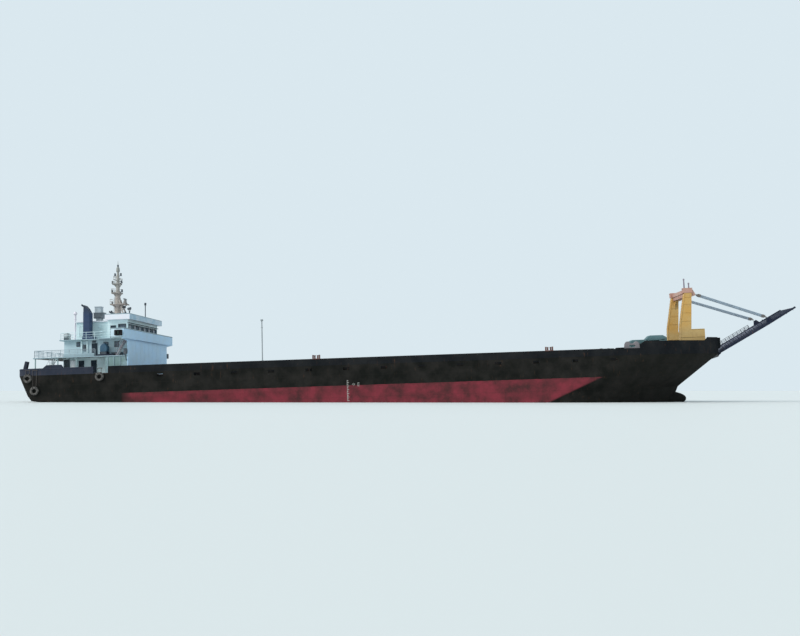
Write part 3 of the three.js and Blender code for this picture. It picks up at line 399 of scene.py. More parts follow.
# Skegs with the shaft bosses, the rudder trunks and the bulb are welded on.
skeg = [(-3.0, 0.005), (-4.06, 0.025), (-4.15, 0.09), (-4.16, 0.21), (-4.14, 0.34), (-3.0, 0.3)]
for _, side in SIDES:
    y = side * SHAFT_Y
    combine(hull, plate(skeg, "y", y - 0.022, y + 0.022), "UNION")
    combine(hull, bar((-4.17, y, SHAFT_Z), (-3.65, y, SHAFT_Z), 0.045, 32), "UNION")
    combine(hull, bar((-4.2, y, SHAFT_Z), (-4.05, y, SHAFT_Z), 0.02, 24))
    combine(hull, upright(-4.375, y, 0.25, 0.395, 0.016, 24))
bulb = primitive(bpy.ops.mesh.primitive_uv_sphere_add, segments=40, ring_count=24, radius=1.0,
                 location=(4.185, 0, 0.125), scale=(0.3, 0.095, 0.11))
hull_paint = painted_steel("hull_paint", hull_coats, (0.024, 0.022, 0.02), rust=0.4, roughness=0.65,
                           shine=0.06, seams=(0.6, 0.15))
build("hull_shell", [combine(hull, bulb, "UNION")], hull_paint, "hull_paint", "hull", degrees=28.0)


# Marks on the hull side
# The draught scale is a plain row of short bars and the load line is a ring with a bar through it. Both are
# steel strips, welded to the plating on each side and painted pale.
def ring(centre, axis, radius, tube, segments=32, sides=10):
    """A round bar bent into a ring, with its hole along the named axis."""
    turn = {"x": (0, math.pi / 2, 0), "y": (math.pi / 2, 0, 0), "z": (0, 0, 0)}[axis]
    return primitive(bpy.ops.mesh.primitive_torus_add, location=centre, rotation=turn, major_radius=radius,
                     minor_radius=tube, major_segments=segments, minor_segments=sides)


def blocks(rows, side=1):
    """Blocks from rows of aft, fore, near, far, low, high and rounding, turned to one side."""
    return [box((aft, side * near, low), (fore, side * far, high), rounding)
            for aft, fore, near, far, low, high, rounding in rows]


mark_paint = painted_steel("mark_paint", (0.4, 0.41, 0.38), (0.27, 0.25, 0.23), rust=0.6, roughness=0.6)
SCALE_X, LOAD_X, LOAD_Z = -0.35, -0.262, 0.475
strips = [(SCALE_X, SCALE_X + (0.014 if k % 2 else 0.024), 0.25 + 0.025 * k, 0.258 + 0.025 * k)
          for k in range(12)]
strips += [(LOAD_X + 0.057, LOAD_X + 0.08, z, z + 0.003) for z in (0.448, 0.461, 0.474, 0.487, 0.497)]
strips += [(SCALE_X - 0.004, SCALE_X, 0.25, 0.533),
           (LOAD_X - 0.023, LOAD_X + 0.023, LOAD_Z - 0.0015, LOAD_Z + 0.0015),
           (LOAD_X + 0.054, LOAD_X + 0.0575, 0.448, 0.5)]
for label, side in SIDES:
    marks = blocks([(aft, fore, HALF_BEAM - 0.002, HALF_BEAM + 0.0012, low, high, 0)
                    for aft, fore, low, high in strips], side)
    marks.append(ring((LOAD_X, side * HALF_BEAM, LOAD_Z), "y", 0.0135, 0.0015, 36, 6))
    build(f"hull_marks_{label}", marks, mark_paint, "white_paint", degrees=0)


# Deck plating and mooring posts
# The decks are steel plate in worn red-brown paint. Mooring posts are pairs of capped steel tubes on a foot
# plate, welded down where the lines come in over the bulwark.
def dress(material, *names):
    """Gives parts of the frame their finish. Their meshes stay as they are."""
    for name in names:
        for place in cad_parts[name].material_slots:
            place.material = material


DECK_TOP = 0.7513
deck_paint = painted_steel("deck_paint", (0.105, 0.06, 0.05), (0.2, 0.165, 0.15), rust=0.9, roughness=0.75,
                           seams=(0.6, 0.18), seam_axes=(0, 1))
dress(deck_paint, "cargo_deck", "quarterdeck", "foredeck")
post_paint = painted_steel("post_paint", (0.035, 0.035, 0.037), (0.12, 0.1, 0.09), rust=0.7, roughness=0.6)
posts = []
for pair_x, pair_y in ((-4.28, 0.76), (-4.87, 0.42), (4.44, 0.52)):
    for y in (-pair_y, pair_y):
        for x in (pair_x - 0.035, pair_x + 0.035):
            posts += [upright(x, y, DECK_TOP, 0.8178, 0.0158, 28),
                      rounded(upright(x, y, 0.817, 0.823, 0.0195, 28), 0.002),
                      ring((x, y, DECK_TOP + 0.007), "z", 0.0165, 0.0018, 28, 6)]
        posts.append(box((pair_x - 0.064, y - 0.025, DECK_TOP + 0.001),
                         (pair_x + 0.064, y + 0.025, DECK_TOP + 0.008), 0.0015))
build("mooring_posts", posts, post_paint, "steel")


# Side walls, bow walls and stern bulwark
# Steel plate walls stand on the deck edge. A pipe rail closes their top edge, roller fairleads sit on it, and
# stiffening brackets stand inside the stern bulwark.
def pipe_along(path, radius, sides=12):
    """A pipe of short straight lengths with a ball at each joint, along a row of points."""
    return [bar(a, b, radius, sides) for a, b in zip(path, path[1:])] + [
        primitive(bpy.ops.mesh.primitive_uv_sphere_add, segments=sides, ring_count=sides // 2, radius=radius,
                  location=point) for point in path[1:-1]]


wall_paint = painted_steel("wall_paint", (0.008, 0.0095, 0.0115), (0.019, 0.02, 0.021), rust=0.6,
                           roughness=0.65, shine=0.06, seams=(0.52, 0.1))
dress(wall_paint, "side_wall_port", "side_wall_stbd", "bow_wall_port", "bow_wall_stbd")
slate_paint = painted_steel("slate_paint", (0.02, 0.026, 0.042), (0.04, 0.045, 0.064), rust=0.6,
                            roughness=0.6, shine=0.1, seams=(0.4, 0.15))
dress(slate_paint, "stern_bulwark", "tank_stand")
fairlead_paint = painted_steel("fairlead_paint", (0.1, 0.045, 0.04), (0.19, 0.11, 0.09), rust=0.9)
chock_paint = painted_steel("chock_paint", (0.125, 0.115, 0.125), (0.22, 0.2, 0.21), rust=0.7)
WALL_TOP = 0.835
for label, side in SIDES:
    y = side * 0.8915
    rail = [ring((x, y, WALL_TOP), "x", 0.0085, 0.0014, 16, 6) for x in (-3.64, -1.6, 0.5, 1.9, 3.25)]
    rail.append(bar((-3.69, y, WALL_TOP), (3.29, y, WALL_TOP), 0.0085, 16))
    build(f"wall_rail_{label}", rail, wall_paint, "hull_paint")

    for place, lead_x in enumerate((-0.77, 2.42)):
        lead = blocks([(-0.055, 0.055, -0.018, 0.018, 0.001, 0.012, 0.002),
                       (-0.054, -0.036, -0.014, 0.014, 0.01, 0.062, 0.003),
                       (0.036, 0.054, -0.014, 0.014, 0.01, 0.062, 0.003)])
        for x in (-0.02, 0.02):
            lead += [upright(x, 0, 0.011, 0.052, 0.011, 20), upright(x, 0, 0.05, 0.057, 0.014, 20)]
        build(f"roller_fairlead_{place}_{label}", lead, fairlead_paint, "steel",
              at=(lead_x, side * 0.8875, WALL_TOP))

    y = side * 0.872
    chock = plate([(3.435, 0.836), (3.64, 0.836), (3.636, 0.898), (3.612, 0.926), (3.585, 0.928),
                   (3.56, 0.902), (3.52, 0.902), (3.498, 0.931), (3.462, 0.928), (3.441, 0.9)],
                  "y", y - 0.019, y + 0.019, 0.004)
    opening = plate([(3.505, 0.852), (3.54, 0.848), (3.572, 0.852), (3.584, 0.866), (3.57, 0.882),
                     (3.508, 0.882), (3.494, 0.866)], "y", y - 0.1, y + 0.1)
    build(f"bow_chock_{label}", [combine(chock, opening)], chock_paint, "steel")

brackets = []
for _, side in SIDES:
    y = side * 0.8785
    bracket = [(y, 0.753), (y - side * 0.055, 0.753), (y - side * 0.012, 0.822), (y, 0.822)]
    brackets += [plate(bracket, "x", x - 0.003, x + 0.003) for x in [-4.75 + 0.13 * k for k in range(7)]]
bracket = [(-4.998, 0.753), (-4.943, 0.753), (-4.986, 0.822), (-4.998, 0.822)]
brackets += [plate(bracket, "y", y - 0.003, y + 0.003) for y in [-0.56 + 0.14 * k for k in range(9)]]
build("bulwark_brackets", brackets, slate_paint, "slate_paint", degrees=0)
bulwark_half = half_waterline(hull_levels[-1], 0.011)[:CORNER_STEPS + 1] + [(-3.9, 0.011 - HALF_BEAM)]
bulwark_path = [(x, -y, 0.8305) for x, y in reversed(bulwark_half)]
bulwark_path += [(x, y, 0.8305) for x, y in bulwark_half]
build("bulwark_rail", pipe_along(bulwark_path, 0.0135, 16), slate_paint, "slate_paint")


# Tyre fenders
# Used lorry tyres hang flat on the hull side from wire strops. Each has a ribbed, blocky tread, a rounded
# shoulder and a bead round its hole.
def mottled(name, values, size, low, high, first, second, grain=None):
    """A finish that drifts between two colours in clouds. The grain is (size, detail, strength, depth)."""
    material, shader = new_material(name, values)
    position = add_node(shader, "ShaderNodeTexCoord", {}).outputs["Object"]
    feed(shader, {"Base Color": blend_colours(band_of(blotches(position, size), low, high), first, second)})
    if grain:
        feed(shader, {"Normal": bump_of(blotches(position, *grain[:2]), *grain[2:])})
    return material


rubber = mottled("worn_rubber", {"Roughness": 0.85}, 0.03, 0.38, 0.64, (0.016, 0.016, 0.016),
                 (0.135, 0.125, 0.115), (0.003, 3.0, 0.4, 0.0008))
TYRE_SEGMENTS, TREAD_RADIUS, GROOVE = 72, 0.06, 0.0022
half_profile = [  # radius, distance from the middle plane
    (0.03, 0.007), (0.031, 0.0112), (0.035, 0.0122), (0.043, 0.0134),
    (0.052, 0.0128), (0.0585, 0.0108), (0.0612, 0.008), (0.062, 0.0042)]
tyre_profile = [(radius, -across) for radius, across in half_profile] + half_profile[::-1]
rows = len(tyre_profile)
tyre_points, tyre_faces = [], []
for segment in range(TYRE_SEGMENTS):
    angle = segment / TYRE_SEGMENTS * 2 * math.pi
    here, following = segment * rows, (segment + 1) % TYRE_SEGMENTS * rows
    for row, (radius, across) in enumerate(tyre_profile):
        reach = radius - (GROOVE if radius > TREAD_RADIUS and segment % 3 == 0 else 0.0)
        tyre_points.append((reach * math.cos(angle), across, reach * math.sin(angle)))
        up = (row + 1) % rows
        tyre_faces.append((here + row, following + row, following + up, here + up))
for place, x, z in (("quarter_upper", -4.83, 0.705), ("quarter_lower", -4.73, 0.53), ("side", -3.805, 0.7)):
    for label, side in SIDES:
        build(f"tyre_fender_{place}_{label}", [outward(mesh_piece("tyre", tyre_points, tyre_faces))], rubber,
              "rubber", f"fender_{place}_{label}", degrees=32.0, at=(x, side * 0.9137, z))
        strops = [bar((x - 0.036, side * 0.902, 0.818), (x + 0.036, side * 0.902, 0.818), 0.004, 10)]
        for shift in (-0.022, 0.022):
            strops += [bar((x + shift * 1.3, side * 0.9035, 0.818), (x + shift, side * 0.9115, z + 0.05),
                           0.0028, 8),
                       ring((x + shift, side * 0.9137, z + 0.046), "x", 0.0165, 0.003, 20, 8)]
        build(f"fender_strops_{place}_{label}", strops, post_paint, "steel")


# Deckhouse walls and decks
# Three tiers of welded steel plate in cyan-tinted white paint with rust streaks. The front screen is one
# tall plate. Painted shade: the screen's forward face and the parapet's front are blue-grey, the screen's
# returns teal and mauve, tier 2 a darker white, the pillars teal and the upper stairs mauve. The lower
# stairs are a brighter white as painted light.
def screen_shade_coats(position, x, y, z):
    """Painted shade: blue-grey on forward faces, teal then mauve low on the returns, and white above."""
    above = blend_colours(band_of(z, 1.225, 1.235), (0.33, 0.31, 0.35), (0.68, 0.8, 0.84))
    returns = blend_colours(band_of(z, 0.984, 0.99), (0.17, 0.26, 0.26), above)
    return blend_colours(band_of(x, -3.4596, -3.4592), returns, (0.44, 0.66, 0.87))


def deck_light_and_shade_coats(position, x, y, z):
    """White decks; the lower stairs get painted light, the pillars and upper stairs painted shade."""
    stairs = product(band_of(z, 0.9975, 0.998), band_of(z, 1.2315, 1.231))
    lower_stairs = product(band_of(x, -4.7, -4.699), band_of(x, -4.539, -4.54))
    # The lower stairs are white, brighter than the walls as painted light; the pillars' teal is painted shade.
    uprights = blend_colours(lower_stairs, (0.26, 0.37, 0.38), (0.9, 0.93, 0.94))
    plating = blend_colours(band_of(z, 0.974, 0.976), uprights, (0.5, 0.63, 0.66))
    # The mauve on the stairs up to deck 2 is painted shade.
    return blend_colours(stairs, plating, (0.17, 0.14, 0.165))


def roof_shade_coats(position, x, y, z):
    """Warm white, and the front of the parapet in the screen's blue-grey as painted shade."""
    return blend_colours(band_of(x, -3.48, -3.4795), (0.75, 0.73, 0.78), (0.31, 0.49, 0.62))


white_paint = painted_steel("white_paint", (0.66, 0.8, 0.83), (0.46, 0.62, 0.65), rust=0.45,
                            seams=(0.45, 0.12))
dress(white_paint, "tier1_house", "tier3_casing", "wheelhouse")
# Tier 2 is a darker copy of the white paint, as painted shade.
tier2_shade_white = painted_steel("tier2_shade_white", (0.48, 0.61, 0.66), (0.36, 0.48, 0.54), rust=0.5, seams=(0.45, 0.12))
dress(tier2_shade_white, "tier2_house")
# The screen's blue-grey front and its teal and mauve returns are painted shade on white paint.
screen_paint_and_shade = painted_steel("screen_paint_and_shade", screen_shade_coats, (0.42, 0.58, 0.7), rust=0.12)
dress(screen_paint_and_shade, "front_screen")
dress(painted_steel("deck_white_light_and_shade", deck_light_and_shade_coats, (0.44, 0.56, 0.59), rust=0.5, roughness=0.55), "deck1", "deck2")
# The roof parapet's blue-grey front is painted shade.
dress(painted_steel("roof_white_and_shade", roof_shade_coats, (0.68, 0.74, 0.8), rust=0.25), "roof")
# The glass's mottled blue-grey colour is a painted reflection of the sky on dark glass.
glass = mottled("window_glass", {"Roughness": 0.08, "IOR": 1.52}, 0.03, 0.45, 0.8, (0.06, 0.088, 0.122),
                (0.125, 0.17, 0.215))
dress(glass, "wheelhouse_glass")


# Windows and portholes
# Small framed windows are bolted over the walls of the tiers, and round portholes look aft. The
# wheelhouse has a band of windows with steel frames and a rain gutter above.
frame_paint = painted_steel("frame_paint", (0.04, 0.055, 0.072), (0.095, 0.115, 0.135), rust=0.5)
BAND_LOW, BAND_HIGH, FRONT_PITCH = 1.358, 1.448, 0.1917
frames = [box((-3.53, -0.61, 1.47), (-3.508, 0.61, 1.476), 0.002)]
panes = []
for _, side in SIDES:
    for x0, x1, z0, z1, wall_y in ((-4.252, -4.212, 1.152, 1.206, 0.64), (-3.7, -3.645, 1.13, 1.2, 0.64),
                                   (-3.86, -3.8, 1.13, 1.195, 0.64), (-3.8, -3.74, 0.88, 0.945, 0.66)):
        near, far = side * (wall_y - 0.004), side * (wall_y + 0.006)
        hole = box((x0, near - side * 0.01, z0), (x1, far + side * 0.01, z1), 0.005, 3)
        surround = box((x0 - 0.007, near, z0 - 0.007), (x1 + 0.007, far, z1 + 0.007), 0.003)
        frames.append(combine(surround, hole))
        panes.append(box((x0 - 0.002, side * (wall_y - 0.002), z0 - 0.002),
                         (x1 + 0.002, side * (wall_y + 0.002), z1 + 0.002)))
    for wall_x, port_y, z in ((-4.44, 0.5, 0.9), (-4.44, 0.25, 0.9), (-4.44, 0.45, 1.14), (-4.44, 0.2, 1.14),
                              (-4.375, 0.22, 1.4)):
        y = side * port_y
        frames.append(ring((wall_x - 0.001, y, z), "x", 0.021, 0.0042, 32, 10))
        panes.append(bar((wall_x - 0.0015, y, z), (wall_x + 0.003, y, z), 0.021, 32))
    hole = box((-3.658, side * 0.576, BAND_LOW + 0.002), (-3.562, side * 0.627, BAND_HIGH - 0.002), 0.006, 3)
    surround = box((-3.669, side * 0.596, BAND_LOW - 0.009), (-3.551, side * 0.607, BAND_HIGH + 0.009), 0.003)
    frames.append(combine(surround, hole))
for place in range(-3, 3):
    y0, y1 = place * FRONT_PITCH + 0.014, (place + 1) * FRONT_PITCH - 0.014
    hole = box((-3.6, y0 + 0.002, BAND_LOW + 0.002), (-3.5, y1 - 0.002, BAND_HIGH - 0.002), 0.006, 3)
    surround = box((-3.534, y0 - 0.009, BAND_LOW - 0.009), (-3.524, y1 + 0.009, BAND_HIGH + 0.009), 0.003)
    frames.append(combine(surround, hole))
build("window_frames", frames, frame_paint, "steel", degrees=30.0)
build("window_panes", panes, glass, "glass", degrees=30.0)


# Deck edges and wall stiffeners
# Each steel deck has a rounded edge pipe, and flat bars stiffen the bridge wings' bulwark, the front
# screen and its returns. Hose boxes, lockers and flood lamps are bolted to the walls.
def axle(x, z, near, far, radius, sides=12):
    return bar((x, near, z), (x, far, z), radius, sides)


# The deck edges, coaming and return stays are white-painted steel, coloured a darker teal-grey as painted
# shade.
edge_shade_paint = painted_steel("edge_shade_paint", (0.28, 0.38, 0.43), (0.2, 0.28, 0.31), rust=0.6, roughness=0.55)
trims = [axle(x, z, -y, y, radius) for x, y, z, radius in (
    (-4.806, 0.802, 0.9885, 0.0075), (-4.476, 0.702, 1.2385, 0.0075), (-3.427, 1.001, 1.36, 0.0085),
    (-3.479, 0.657, 1.597, 0.006))]
side_edges = (
    # height, pipe radius, path
    (0.9885, 0.0075, ((-3.462, 0.802), (-4.806, 0.802))),
    (1.2385, 0.0075, ((-3.62, 0.802), (-3.858, 0.802), (-3.858, 0.702), (-4.476, 0.702))),
    (1.358, 0.0075, ((-3.612, 1.001), (-3.424, 1.001))),
    (1.597, 0.006, ((-3.84, 0.657), (-3.477, 0.657))),
)
ribs = blocks([(-3.4485, -3.4448, y - 0.0015, y + 0.0015, 0.76, 1.21, 0)
               for y in [-0.68 + 0.17 * k for k in range(9)]])
return_stays, trunks, hose_boxes = [], [], []
for _, side in SIDES:
    for z, radius, path in side_edges:
        trims += pipe_along([(x, side * y, z) for x, y in path], radius)
    trims += blocks([(-3.57, -3.565, 0.975, 0.996, 1.246, 1.352, 0),
                     (-3.49, -3.485, 0.975, 0.996, 1.246, 1.352, 0),
                     (-4.37, -3.93, 0.799, 0.802, 0.99, 1.04, 0.001)], side)
    return_stays += blocks([(x - 0.004, x + 0.004, 0.7995, 0.8075, 0.76, 0.978, 0.0015)
                            for x in (-3.735, -3.645, -3.555)], side)
    trunks += blocks([(x - 0.009, x + 0.009, 0.6395, 0.6575, 0.9968, 1.229, 0.002)
                      for x in (-4.178, -4.098)], side)
    hose_boxes += blocks([
        (-4.155, -4.118, 0.6395, 0.6615, 1.088, 1.172, 0.004),
        (-3.735, -3.575, 0.645, 0.686, 0.9965, 1.042, 0.003),
        (-3.738, -3.572, 0.6425, 0.6885, 1.04, 1.046, 0.001),
        # The dark fanlight panel over the tier 2 door also stands in for the shade under deck 2.
        (-4.029, -3.971, 0.644, 0.65, 1.194, 1.226, 0.0015),
        (-3.48, -3.442, 0.824, 0.886, 1.008, 1.084, 0.004),
        (-3.476, -3.462, 0.799, 0.826, 1.04, 1.054, 0.001),
    ], side)
    hose_boxes += [axle(-4.128, 1.13, side * 0.6615, side * 0.6655, 0.003),
                   bar((-3.468, side * 0.85, 1.012), (-3.468, side * 0.801, 0.92), 0.0055)]
build("deck_edges", trims, edge_shade_paint, "white_paint")
# The ribs on the front screen carry its blue-grey painted shade.
build("screen_ribs", ribs, screen_paint_and_shade, "white_paint", degrees=0)
build("return_stays", return_stays, edge_shade_paint, "white_paint", degrees=0)
build("wall_trunks", trunks, white_paint, "white_paint", degrees=0)
build("hose_boxes", hose_boxes, frame_paint, "door_paint", degrees=0)


# Engine room air intakes
# At the aft end of tier 1 each side has a tall louvred grille and, next to it, a square air trunk with a
# hood. They are folded from thin steel sheet and bolted to the wall.
def slats(face, side, depth, first, pitch, count, rise, thick, aft, fore):
    """Sloping louvres on a wall, one above the other."""
    tip = face + side * depth
    return [plate([(face, z + rise), (tip, z), (tip, z + thick), (face, z + rise + thick)], "x", aft, fore)
            for z in [first + pitch * k for k in range(count)]]


def grille_border(face, side, depth, aft, fore, low, high, edge):
    """A flat steel frame on a wall, open in the middle."""
    border = box((aft, face - side * 0.001, low), (fore, face + side * depth, high), 0.002)
    return combine(border, box((aft + edge, face - side * 0.021, low + edge),
                               (fore - edge, face + side * (depth + 0.02), high - edge)))


intake_white = painted_steel("intake_white", (0.8, 0.84, 0.86), (0.62, 0.68, 0.72))
for label, side in SIDES:
    face = side * 0.66
    intake = [grille_border(face, side, 0.008, -4.428, -4.346, 0.8, 0.968, 0.007)]
    intake += slats(face, side, 0.007, 0.809, 0.0152, 10, 0.011, 0.0025, -4.422, -4.352)
    build(f"intake_grille_{label}", intake, frame_paint, "steel", degrees=0)
    trunk = blocks([(-4.318, -4.252, 0.6595, 0.704, 0.7535, 0.938, 0.003),
                    (-4.32, -4.25, 0.6595, 0.706, 0.8, 0.805, 0.001),
                    (-4.32, -4.25, 0.6595, 0.706, 0.87, 0.875, 0.001)], side)
    hood = [(side * 0.6595, 0.936), (side * 0.712, 0.936), (side * 0.712, 0.946), (side * 0.6595, 0.962)]
    trunk.append(plate(hood, "x", -4.324, -4.246, 0.001))
    build(f"air_trunk_{label}", trunk, intake_white, "white_paint", degrees=30.0)


# Sidelight boxes
# Each bridge wing carries its navigation lamp in a dark steel screen on the outside, red to port and green to
# starboard.
lamp_black = painted_steel("lamp_black", (0.012, 0.012, 0.014), (0.025, 0.025, 0.026), rust=0.2,
                           roughness=0.7, shine=0.1)
for (label, side), colour in zip(SIDES, ((0.005, 0.034, 0.02), (0.1, 0.008, 0.008))):
    pocket = box((-3.515, side * 1.0325, 1.268), (-3.4, side * 1.1, 1.322))
    shade = combine(box((-3.543, side * 1.003, 1.257), (-3.442, side * 1.049, 1.333), 0.004), pocket)
    build(f"sidelight_screen_{label}", [shade], lamp_black, "door_paint", degrees=0)
    lens_paint = mottled(f"lens_{label}", {"Roughness": 0.3}, 0.01, 0.0, 1.0, colour,
                         tuple(c * 0.6 for c in colour))
    lens = rounded(upright(-3.49, side * 1.0405, 1.272, 1.318, 0.0085, 24), 0.003)
    build(f"sidelight_{label}", [lens], lens_paint, "glass")


# Doors
# Each weathertight door is a stiffened steel leaf with a lever handle, four clips and a small round light.
door_paint = painted_steel("door_paint", (0.014, 0.026, 0.04), (0.034, 0.05, 0.066), rust=0.4, roughness=0.55,
                           shine=0.15)
door_places = (
    # label, centre of the doorway in x, outer face of the leaf, sill
    ("tier1_aft", -4.18, 0.6653, 0.7633),
    ("tier1_fore", -4.0, 0.6653, 0.7633),
    ("tier2", -4.0, 0.6453, 1.007),
    ("wheelhouse", -3.745, 0.6053, 1.257),
)
for place, door_x, door_y, sill in door_places:
    for label, side in SIDES:
        leaf, spot = f"door_{place}_{label}", (door_x, side * door_y, sill)
        dress(door_paint, leaf)
        press = box((-0.021, side * -0.021, 0.022), (0.021, side * 0.023, 0.098), 0.004)
        fittings = [combine(box((-0.028, side * -0.001, 0.014), (0.028, side * 0.003, 0.166), 0.0015), press),
                    ring((0, side * 0.003, 0.132), "y", 0.0125, 0.0022, 24, 8)]
        for z in (0.03, 0.075, 0.12, 0.155):
            fittings += [axle(-0.026, z, side * 0.002, side * 0.007, 0.0022, 10),
                         box((-0.0275, side * 0.005, z - 0.008), (-0.0245, side * 0.007, z + 0.002))]
        build(f"door_fittings_{place}_{label}", fittings, door_paint, "door_paint", body=leaf, at=spot)
        light = axle(0, 0.132, side * -0.001, side * 0.0025, 0.012, 24)
        build(f"door_light_{place}_{label}", [light], glass, "glass", body=leaf, at=spot)


# Guard rails and stair rails
# Rails of steel pipe run through upright posts that are welded to the deck edge, five of them round deck
# 1 and three round deck 2. The stairs have pipe handrails bent down to their feet.
RAIL_HEIGHT = 0.1


def guard_rail(name, path, deck, replaced, paint, post_radius, courses):
    """Posts about 0.12 m apart along a path, with rails at each course's (height, radius)."""
    parts = []
    for (x0, y0), (x1, y1) in zip(path, path[1:]):
        bays = max(1, round(math.hypot(x1 - x0, y1 - y0) / 0.12))
        for k in range(bays + 1):
            x, y = x0 + (x1 - x0) * k / bays, y0 + (y1 - y0) * k / bays
            parts += [upright(x, y, 0, RAIL_HEIGHT, post_radius, 10), upright(x, y, 0, 0.003, 0.006, 10)]
    for height, radius in courses:
        parts += pipe_along([(x, y, height) for x, y in path], radius, 10)
    build(name, parts, paint, "white_paint", replaced, at=(0, 0, deck))


# The deck 1 rails are white-painted steel, coloured blue-grey as painted shade.
rail_shade_grey = painted_steel("rail_shade_grey", (0.3, 0.37, 0.42), (0.22, 0.27, 0.3), rust=0.5)
# The upper stair rails are mauve as painted shade, like the stairs they follow.
stair_shade_paint = painted_steel("stair_shade_paint", (0.17, 0.14, 0.165), (0.27, 0.24, 0.26), rust=0.6, roughness=0.6)
deck1_courses = [(height, 0.0023) for height in (0.021, 0.041, 0.061, 0.081)] + [(RAIL_HEIGHT, 0.004)]
guard_rail("deck1_guard_rail", [(-3.92, -0.792), (-4.795, -0.792), (-4.795, 0.792), (-3.92, 0.792)], 0.9953,
           "deck1_railing", rail_shade_grey, 0.0032, deck1_courses)
guard_rail("deck2_guard_rail", [(-3.625, -0.792), (-3.85, -0.792), (-3.85, -0.692), (-4.465, -0.692),
                                (-4.465, 0.692), (-3.85, 0.692), (-3.85, 0.792), (-3.625, 0.792)], 1.2453,
           "deck2_railing", white_paint, 0.0026, ((0.03, 0.0017), (0.064, 0.0017), (RAIL_HEIGHT, 0.0027)))
for flight, foot_x, head_x, stair_y, low, high, paint in (
        ("lower", -4.675, -4.54, 0.7, 0.7543, 0.995, intake_white),
        ("upper", -3.64, -3.505, 0.73, 0.998, 1.245, stair_shade_paint)):
    stair_rails = []
    for y in (-stair_y - 0.034, -stair_y + 0.034, stair_y - 0.034, stair_y + 0.034):
        path = [(foot_x, y, low + 0.01), (foot_x - 0.004, y, low + 0.085), (head_x - 0.004, y, high + 0.085),
                (head_x + 0.03, y, high + 0.085), (head_x + 0.03, y, high)]
        middle = [(a + b) / 2 for a, b in zip(path[1], path[2])]
        stair_rails += pipe_along(path, 0.0022, 10)
        stair_rails.append(bar((middle[0] + 0.006, y, middle[2] - 0.085), middle, 0.002, 10))
    build(f"stair_rails_{flight}", stair_rails, paint, "steel")


# Roof fittings
# The signal lamp is on a post at the roof's fore edge, and a searchlight beside it. A pale vent cowl
# stands aft, and the casing has louvred grilles beside the funnels.
signal = [ring((0, 0, 1.536), "z", 0.01, 0.003, 24, 8),
          rounded(upright(0, 0, 1.783, 1.822, 0.0155, 24), 0.004, 3),
          upright(0, 0, 1.53, 1.785, 0.0068, 16)]
signal += [ring((0, 0, z), "z", 0.0155, 0.0012, 24, 6) for z in (1.792, 1.8, 1.808)]
build("signal_lamp", signal, frame_paint, "steel", at=(-3.495, 0, 0))
cowl = [upright(0, 0, 1.246, 1.64, 0.0135, 28), upright(0, 0, 1.246, 1.252, 0.022, 28),
        upright(0, 0, 1.63, 1.652, 0.015, 28, 0.03), upright(0, 0, 1.652, 1.684, 0.03, 28, 0.012),
        ring((0, 0, 1.57), "z", 0.0165, 0.0045, 28, 8), ring((0, 0, 1.652), "z", 0.03, 0.0018, 28, 6),
        box((0.007, -0.006, 1.44), (0.033, 0.006, 1.452), 0.001)]
cowl_paint = painted_steel("cowl_paint", (0.74, 0.73, 0.79), (0.62, 0.58, 0.64), rust=0.25)
build("vent_cowl", cowl, cowl_paint, "white_paint", at=(-4.405, -0.37, 0))
searchlight = [upright(0, 0, 1.532, 1.64, 0.008, 16), upright(0, 0, 1.532, 1.538, 0.018, 20),
               axle(0, 1.64, -0.022, 0.022, 0.0055), ring((0.019, 0, 1.676), "x", 0.0185, 0.002, 28, 8),
               bar((-0.023, 0, 1.672), (0.019, 0, 1.676), 0.0165, 28, 0.0195),
               bar((-0.031, 0, 1.6715), (-0.023, 0, 1.672), 0.008, 28, 0.0165)]
searchlight += blocks([(-0.004, 0.004, y - 0.002, y + 0.002, 1.638, 1.678, 0.001) for y in (-0.022, 0.022)])
build("searchlight", searchlight, frame_paint, "steel", at=(-3.507, -0.59, 0))
grilles = []
for _, side in SIDES:
    for aft in (-4.34, -4.05):
        grilles.append(grille_border(side * 0.39, side, 0.006, aft, aft + 0.14, 1.3, 1.47, 0.008))
        grilles += slats(side * 0.39, side, 0.006, 1.312, 0.0165, 9, 0.01, 0.002, aft + 0.007, aft + 0.133)
build("casing_grilles", grilles, white_paint, "white_paint", degrees=0)


# Mast
# A stout post of rolled steel plate with two tube stays, in weathered beige paint. It carries three
# platforms with rails, a yard, navigation lamps on brackets, a horn and a ladder.
def mast_coats(position, x, y, z):
    """Taupe low down, greener in the smoke near the top, and dark grey on the scanner's gear case."""
    post = blend_colours(band_of(z, 1.9, 2.12), (0.36, 0.315, 0.285), (0.27, 0.28, 0.265))
    gear_case = product(band_of(x, -3.838, -3.8375), band_of(z, 1.816, 1.8165))
    return blend_colours(gear_case, post, (0.12, 0.125, 0.135))


